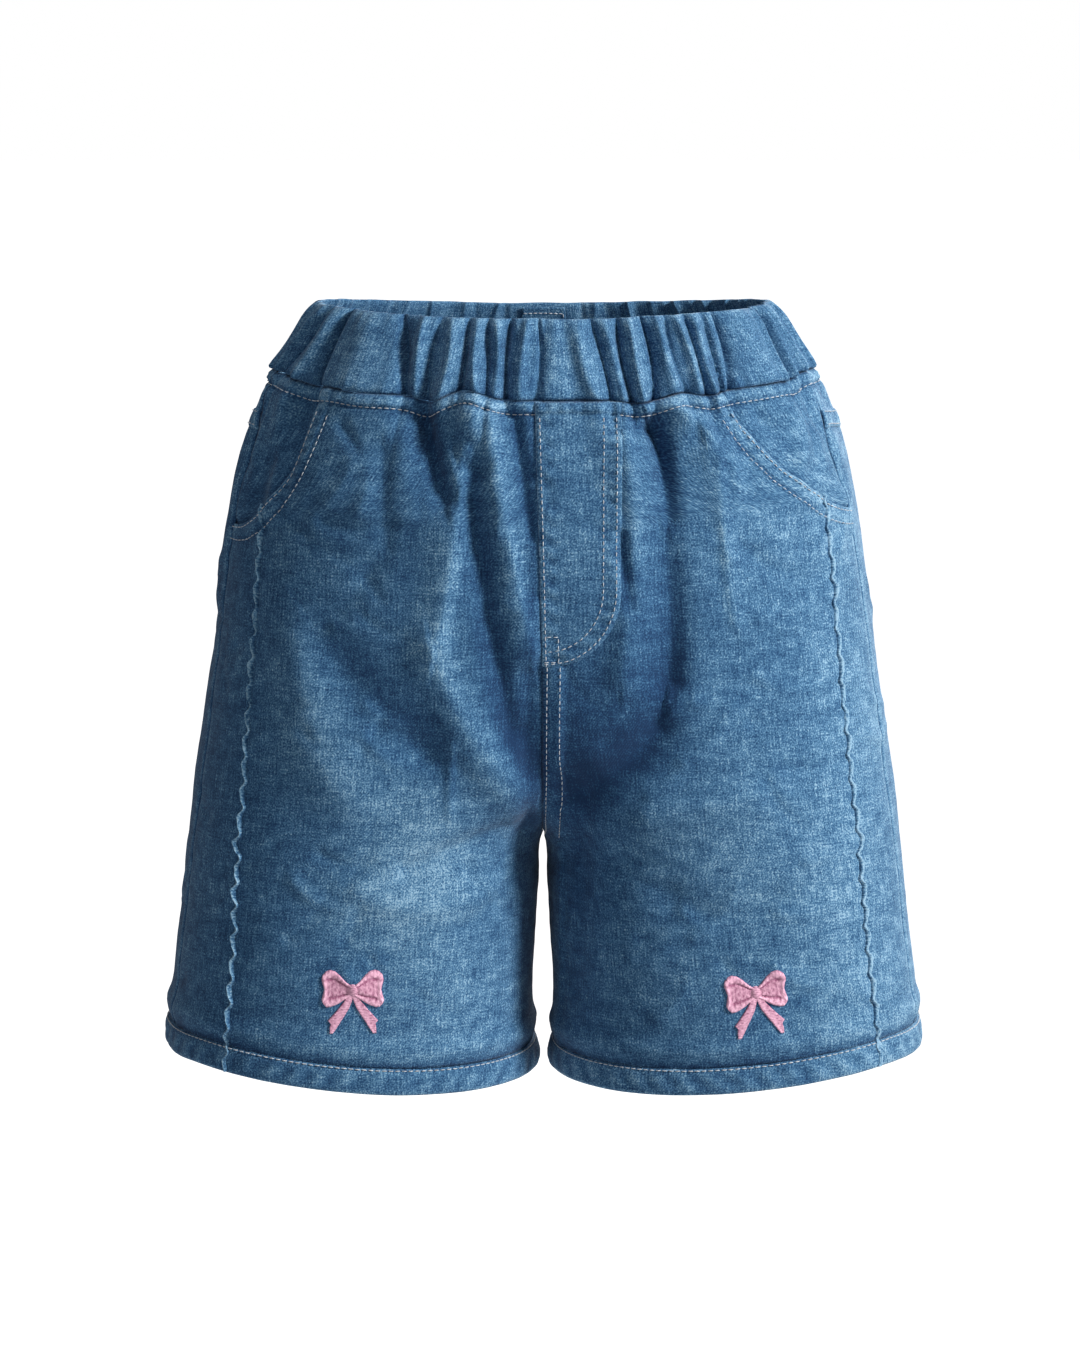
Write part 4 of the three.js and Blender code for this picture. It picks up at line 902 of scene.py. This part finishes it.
def line_on_front(x, z, lift):
    """A line across the front as seen from it, with its outward directions."""
    return line_on_cloth(np.where(x < 0, -1, 1), share_at_x(x, z), z, lift)


waist_rows, hem_rows, yoke_rows, pocket_rows = [], [], [], []
for side in SIDE_NAME:
    share = np.linspace(0.001, 0.999, 500)
    waist_rows.append(line_on_cloth(side, share, seam_z(side, share) - 6.4, 0.5))
    share = np.linspace(0, 1, 500)
    hem_rows.append(line_on_cloth(side, share, hem_z(share) + 12.6, 0.85))
    u = np.linspace(0.005, 0.995, 300)
    for inset in (1.4, 7.4):
        down = yoke_down(u) - inset
        share = between(side_share(down), 1, u)
        yoke_rows.append(line_on_cloth(side, share, row_z(side, share, down), 1.05))
    down = POCKET[side][1] * np.sin(np.linspace(0.09, 1, 160) * np.pi / 2)
    share = pocket_share(side, down)
    mouth = form(side, share, row_z(side, share, down))[:, [0, 2]]
    run = np.gradient(mouth, axis=0)
    run /= np.linalg.norm(run, axis=1, keepdims=True)
    for inset in (1.5, 7.4):
        x, z = mouth[:, 0] + side * run[:, 1] * inset, mouth[:, 1] - side * run[:, 0] * inset
        pocket_rows.append(line_on_front(x, z, 0.65))
down = np.linspace(2, 215, 200)
for inset in (7.8, 1.6):  # both rows of the seat seam are on the left back
    share = 1 - along_row(0.99 + 0 * down, plain_z(1, down), inset)
    yoke_rows.append(line_on_cloth(1, share, row_z(1, share, down), 0.2))
sew("waist_stitches", waist_rows)
sew("hem_stitches", hem_rows, length=2.7, radius=0.28)
sew("back_stitches", yoke_rows)
sew("pocket_stitches", pocket_rows)

# The mock fly: a flap folded from the wearer's left front over the right. Its folded edge is edge-stitched,
# and two rows curve down from the waist to hold the facing behind it.
FLY_WIDTH, FLY_BEND, FLY_FOOT = 35.5, -110.0, -147.0


def fly_edge(z):
    """The folded edge leans from 5 mm right of the centre at the top to the centre at the foot."""
    return -4.6 + 3.6 * np.clip((z - SEAM_FRONT) / (FLY_FOOT - SEAM_FRONT), 0, 1.1)


v = np.linspace(0, 1, 130)[:, None]
u = np.linspace(0, 1, 56)[None, :] ** 1.15
z = SEAM_FRONT - 0.4 + (FLY_FOOT - 3.5 - SEAM_FRONT) * v + 0 * u
fall = np.clip((FLY_BEND - z) / (FLY_BEND - FLY_FOOT), 0, 1)
curve = FLY_WIDTH * np.sqrt(1 - fall ** 2)
x = fly_edge(z) + (curve + 3.5 - fly_edge(z)) * u
past_x, past_z = np.maximum(x, 0) / FLY_WIDTH, np.maximum(FLY_BEND - z, 0) / (FLY_BEND - FLY_FOOT)
past = (np.hypot(past_x, past_z) - 1) * 34  # millimetres outside the curve of the foot
from_edge = x - fly_edge(z)
pucker = 0.55 * np.sin(z * 2 * np.pi / 9.4 + 1.2 * ripple(z, 0, 50, 31)) * bell(from_edge - 5.2, 2.8)
pucker = pucker + 0.4 * np.sin(z * 2 * np.pi / 6.4 + 2) * bell(past + 4.5, 2.4)
lift = 1.3 - 1.9 * smooth(-0.8, 2.6, past) - 1.2 * np.exp(-from_edge / 0.5) + pucker
points = on_front(x, z, lift)
folds = fold_sum(np.where(x < 0, -1, 1), share_at_x(x, z), z)
# Pale along the folded edge and on the puckers from wear; paler on the folds' ridges and darker in their
# troughs, partly real wear and partly painted light and shade.
wear_and_shade = np.clip(0.4 + 0.3 * bell(from_edge, 1.2) + 0.3 * pucker + 0.03 * folds, 0, 1)
fly = mesh_grid("fly_cloth", points, np.stack([x, z], -1), wear_and_shade, washed_denim, flip=True)
thicken(fly, 0.8)
dress(fly, ["mock_fly"])

down_z = np.linspace(SEAM_FRONT - 7.5, FLY_FOOT - 1.5, 120)
turn = np.linspace(0, 1, 60)[1:] * np.pi / 2
fly_rows = [line_on_front(fly_edge(down_z) + 2.2, down_z, 1.35)]
for inset in (1.0, 7.2):
    straight = np.linspace(SEAM_FRONT - 7.5, FLY_BEND, 60)
    x = np.concatenate([FLY_WIDTH - inset + 0 * straight, 1 + (FLY_WIDTH - inset - 1) * np.cos(turn)])
    z = np.concatenate([straight, FLY_BEND + (FLY_FOOT + inset - FLY_BEND) * np.sin(turn)])
    fly_rows.append(line_on_front(x, z, 1.3))
box = np.linspace(0, 3, 40)
box_x = np.interp(box, range(4), (0.8, 7, 7, 0.8))
box_z = np.interp(box, range(4), (-132.5, -132.5, -145, -145))
fly_rows.append(line_on_front(box_x, box_z, 1.35))
crotch = np.linspace(FLY_FOOT, -240, 100)
for x in (1.6, 7.8):
    fly_rows.append(line_on_front(x + 0 * crotch, crotch, 1.4))
sew("fly_stitches", fly_rows)

# The ruffled seams: a narrow frilled tuck of the same denim that stands on each front seam and waves from
# side to side, pale along its crest, partly from wear and partly as a painted highlight, and darker down its
# sides as painted shade.
WAVE, SWAY, CREST = 12.4, 1.5, 2.2
for side, name in SIDE_NAME.items():
    down = np.linspace(float(corner_down(side)) - 1, LENGTH - 0.6, 760)[:, None]
    w = np.linspace(-1, 1, 17)[None, :]
    turn = 2 * np.pi * down / WAVE + 0.9 * ripple(down, 0, 70, 41 + side)
    size = 1 + 0.35 * ripple(down, 0, 30, 43 + side)
    sway = SWAY * size * (np.sin(turn) + 0.32 * np.sin(2 * turn + 0.7))
    tall = CREST * (1 - 0.25 * ripple(down, 0, 24, 47)) * (1 - 0.45 * smooth(HEM_TOP - 3, HEM_TOP + 2, down))
    if side < 0:  # a sharp frill, and a low bead on the other leg
        rise = np.cos(w * np.pi / 2) ** 0.8
        foot = np.sign(w) * (0.45 + 1.35 * (1 - rise)) * np.abs(w) ** 0.6
        pale = 0.2 + 0.72 * rise ** 1.3
    else:
        rise = 0.82 * (1 - np.abs(w) ** 3) ** 0.8
        foot = 1.45 * w
        pale = 0.15 + rise
    across = foot + sway * (0.25 + 0.75 * rise)
    share = ruffle_share(side, down)
    z = row_z(side, share, down) + 0 * w
    share = share + along_row(share, z, across)
    over_hem = 0.9 * smooth(HEM_TOP - 1, HEM_TOP + 0.5, down)
    points = cloth(side, share, z, -0.5 + tall * rise + over_hem - 2.2 * smooth(0.8, 1, np.abs(w)))
    uv = np.stack([across, z], -1)
    # The crest's paleness is partly wear and partly a painted highlight; the darker sides are painted shade.
    wear_and_shade = np.clip(pale + 0.15 * ripple(down, across, 9, 49), 0, 1)
    frill = mesh_grid(f"ruffle_cloth_{name}", points, uv, wear_and_shade, washed_denim, flip=side > 0)
    dress(frill, [f"ruffled_seam_{name}"])

# The bows: satin-stitch embroidery in pink thread, raised over the cloth. Two loops with stitched-in folds,
# two notched tails and a knot, each a low dome of close threads.
satin, tree, shader = start_material("pink satin stitch", {"Roughness": 0.5, "Sheen Weight": 0.25})
uv_map = add_node(tree, "UVMap", uv_map="Cloth")
shade = add_node(tree, "Attribute", attribute_name="wear_and_shade")
stretch = add_node(tree, "VectorMath", uv_map.outputs["UV"], (1900, 500, 1), operation="MULTIPLY")
threads = add_node(tree, "TexNoise", stretch.outputs[0], named={"Scale": 1, "Detail": 2})
centre = add_node(tree, "Math", threads.outputs[0], 0.5, operation="SUBTRACT")
# The pink goes from deep to pale with the threads' noise and with the wear attribute, which holds the bows'
# painted highlights and painted shade.
threads_and_painted_shade = add_node(tree, "Math", centre.outputs[0], 2, shade.outputs["Fac"], operation="MULTIPLY_ADD")
tint = add_node(tree, "Mix", threads_and_painted_shade.outputs[0], named={6: (0.3, 0.09, 0.18, 1), 7: (0.92, 0.52, 0.68, 1)},
                data_type="RGBA", clamp_factor=True)
bump = add_node(tree, "Bump", named={"Strength": 0.7, "Distance": 0.0004, "Height": threads.outputs[0]})
tree.links.new(tint.outputs[2], shader.inputs["Base Color"])
tree.links.new(bump.outputs["Normal"], shader.inputs["Normal"])

BOW_PLACE = {-1: (-93.5, -307.9, 0.0), 1: (103.5, -309.3, 0.13)}  # x, z and lean of each knot
# Outlines of a loop and a tail, from the knot outwards: how far out, the upper edge and the lower edge.
LOOP = np.array([
    (0.8, 2.5, -2.8), (3, 4.1, -4.3), (6, 7.4, -6.6), (8.5, 9.5, -8), (11, 10.1, -9), (13, 9.4, -9),
    (14.6, 7.7, -7.2), (15.4, 4.6, -4.6)])
TAIL = np.array([
    (0, -1, 2.8), (4, 0.2, 4.2), (7.5, 1.4, 6.9), (11.5, 3.7, 10.3), (14, 5.3, 12.7), (15.6, 6.4, 11.2),
    (18, 7.9, 11.6), (21, 10.1, 11.4)])


def bow_piece(side, name, x, y, height, uv, wear_and_shade):
    """Lays a flat shape on the cloth: its x and y turned by the bow's lean, and its height as the lift."""
    left, low, lean = BOW_PLACE[side]
    flat_x, flat_y = x * np.cos(lean) - y * np.sin(lean), x * np.sin(lean) + y * np.cos(lean)
    points = on_front(left + flat_x, low + flat_y, height)
    mid = tuple(s // 2 for s in x.shape)
    step_row = points[mid[0] + 1, mid[1]] - points[mid]
    step_column = points[mid[0], mid[1] + 1] - points[mid]
    flip = np.cross(step_column, step_row)[1] > 0
    return mesh_grid(name, points, uv, np.clip(wear_and_shade, 0, 1), satin, flip=flip)


def joined(objects, name):
    """Makes one object of several, which keep their uv and wear."""
    for obj in bpy.context.selected_objects:
        obj.select_set(False)
    for obj in objects:
        obj.select_set(True)
    bpy.context.view_layer.objects.active = objects[0]
    bpy.ops.object.join()
    objects[0].name = objects[0].data.name = name
    return objects[0]


for side, side_name in SIDE_NAME.items():
    parts = []
    for hand in (-1, 1):
        s, t = np.meshgrid(np.linspace(0, 1, 46), np.linspace(-1, 1, 48), indexing="ij")
        out = s ** 0.9 * 15.4
        high, low = np.interp(out, LOOP[:, 0], LOOP[:, 1]), np.interp(out, LOOP[:, 0], LOOP[:, 2])
        reach = out - 1.3 * (1 - np.abs(t)) * smooth(0.6, 1, s)
        y = (high + low) / 2 + (high - low) / 2 * t
        rim = np.maximum(bell(np.abs(t) - 0.8, 0.2), bell(s - 0.93, 0.09))
        crease = bell(np.abs(t) - 0.5, 0.07) * smooth(0.05, 0.2, s) * (1 - smooth(0.7, 0.8, s))
        edge = np.minimum(smooth(0, 0.1, 1 - np.abs(t)), smooth(0, 0.05, 1 - s))
        height = -0.3 + edge * (1.0 + 0.45 * rim - 0.55 * crease)
        # A painted highlight on the raised rim, and painted shade in the stitched-in folds and round the
        # outline.
        wear_and_shade = 0.4 + 0.3 * rim - 0.9 * crease - 0.3 * (1 - edge)
        uv = np.stack([out * 0.4, y], -1)
        parts.append(bow_piece(side, f"loop_{hand}", hand * reach, y, height, uv, wear_and_shade))
        s, t = np.meshgrid(np.linspace(0, 1, 60), np.linspace(-1, 1, 24), indexing="ij")
        long = s * 21
        inner, outer = np.interp(long, TAIL[:, 0], TAIL[:, 1]), np.interp(long, TAIL[:, 0], TAIL[:, 2])
        x = (inner + outer) / 2 + (outer - inner) / 2 * t
        edge = np.minimum(smooth(0, 0.24, 1 - np.abs(t)), smooth(0, 0.05, 1 - s))
        # A painted highlight along one side, paler at the tip, and painted shade round the outline.
        wear_and_shade = 0.42 + 0.25 * bell(t + 0.3, 0.3) + 0.25 * smooth(0.85, 1, s) - 0.35 * (1 - edge)
        height = -0.3 + 1.15 * edge
        uv = np.stack([long, x], -1)
        parts.append(bow_piece(side, f"tail_{hand}", hand * x, -1.5 - long, height, uv, wear_and_shade))
    r, a = np.meshgrid(np.linspace(0.02, 1, 14), np.linspace(0, 2 * np.pi, 40), indexing="ij")
    dome = 2.1 * np.sqrt(np.clip(1 - r ** 2, 0, 1)) - 0.3
    knot_x, knot_y = 2.6 * r * np.cos(a), 3.4 * r * np.sin(a) - 0.2
    parts.append(bow_piece(side, "knot", knot_x, knot_y, dome, np.stack([knot_y, knot_x], -1), 0.42 + 0 * r))
    bow = joined(parts, f"bow_satin_{side_name}")
    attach(bow, "root")
    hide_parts(f"embroidered_bow_{side_name}")

# The tack patch: inside the centre back of the waistband the elastic is held by a stitched rectangle, where
# the cloth lies flat.
PATCH_HALF = 5.6
degrees, up = np.meshgrid(np.linspace(180 - PATCH_HALF, 180 + PATCH_HALF, 30), np.linspace(0.95, 0.3, 24))
patch_points = band(degrees, up, -3.9 + 0 * up, 0.34)
patch_uv = np.stack([run_along(patch_points), up * 40], -1)
patch = mesh_grid("tack_patch_cloth", patch_points, patch_uv, 0.42 + 0 * up, washed_denim, flip=True)
thicken(patch, 0.6)
dress(patch, ["elastic_tack_patch"])
patch_rows = []
for line_degrees, line_up in (((-PATCH_HALF + 0.6, PATCH_HALF - 0.6), (0.86, 0.86)),
                              ((-PATCH_HALF + 0.6, -PATCH_HALF + 0.6), (0.86, 0.34))):
    turn, rise = 180 + np.linspace(*line_degrees, 30), np.linspace(*line_up, 30)
    near, far = band(turn, rise, -4.7 + 0 * rise, 0.34), band(turn, rise, -5.7 + 0 * rise, 0.34)
    patch_rows.append((near, far - near))
sew("tack_stitches", patch_rows, pitch=2.6, length=2.0)

# The studio: a pale floor well below the shorts, a large soft light from the upper right, a weaker one from
# the left, and a pale surround.
FLOOR = -1.2  # metres
pale, tree, shader = start_material(
    "pale floor", {"Base Color": (0.6, 0.6, 0.6, 1), "Roughness": 0.9, "Emission Color": (1, 1, 1, 1)})
ray = add_node(tree, "LightPath")  # the floor looks white but hardly lights the shorts
tree.links.new(ray.outputs["Is Camera Ray"], shader.inputs["Emission Strength"])
floor_mesh = bpy.data.meshes.new("floor")
corners = [(-30, -30, FLOOR), (30, -30, FLOOR), (30, 60, FLOOR), (-30, 60, FLOOR)]
floor_mesh.from_pydata(corners, [], [(0, 1, 2, 3)])
floor_mesh.materials.append(pale)
add_object("floor", floor_mesh)

for name, place, aim, size, power, colour in (
    ("key", (2.2, -1.35, 1.2), (0, 0, -0.17), 0.65, 126, (1.0, 0.99, 0.97)),
    ("fill", (-1.4, -2.6, 0.4), (0, 0, -0.2), 1.6, 12, (0.95, 0.97, 1.0)),
    ("top", (0.1, 0.2, 2.2), (0, 0, -0.1), 1.0, 14, (1, 1, 1)),
    ("back", (0.9, 2.5, 1.0), (0, 0, -0.17), 1.0, 85, (0.98, 0.99, 1.0)),
):
    lamp = bpy.data.lights.new(name, "AREA")
    lamp.shape, lamp.size, lamp.energy, lamp.color = "DISK", size, power, colour
    lamp_obj = add_object(name, lamp)
    lamp_obj.location = place
    reach = np.array(aim) - np.array(place)
    tilt = np.arctan2(np.hypot(*reach[:2]), -reach[2])
    lamp_obj.rotation_euler = (tilt, 0, np.arctan2(-reach[0], reach[1]))

world = bpy.data.worlds.new("surround")
world.use_nodes = True
tree = world.node_tree
tree.nodes.clear()
ray = add_node(tree, "LightPath")
lit = add_node(tree, "Background", (0.95, 0.97, 1, 1), 0.15)
seen = add_node(tree, "Background", (1, 1, 1, 1), 1)
pick = add_node(tree, "MixShader", ray.outputs["Is Camera Ray"], lit.outputs[0], seen.outputs[0])
add_node(tree, "OutputWorld", pick.outputs[0])
bpy.context.scene.world = world
bpy.context.scene.view_settings.view_transform = "Standard"

# The camera: a long lens 2.1 m in front, a little above the waist and tipped down.
TIPPED_DOWN = 8.22  # degrees
lens = bpy.data.cameras.new("camera")
lens.lens, lens.sensor_width, lens.clip_end = 111.8, 36, 200
camera = add_object("camera", lens)
camera.location = (-0.002, -2.090, 0.137)
camera.rotation_euler = (np.radians(90 - TIPPED_DOWN), 0, 0)
bpy.context.scene.camera = camera
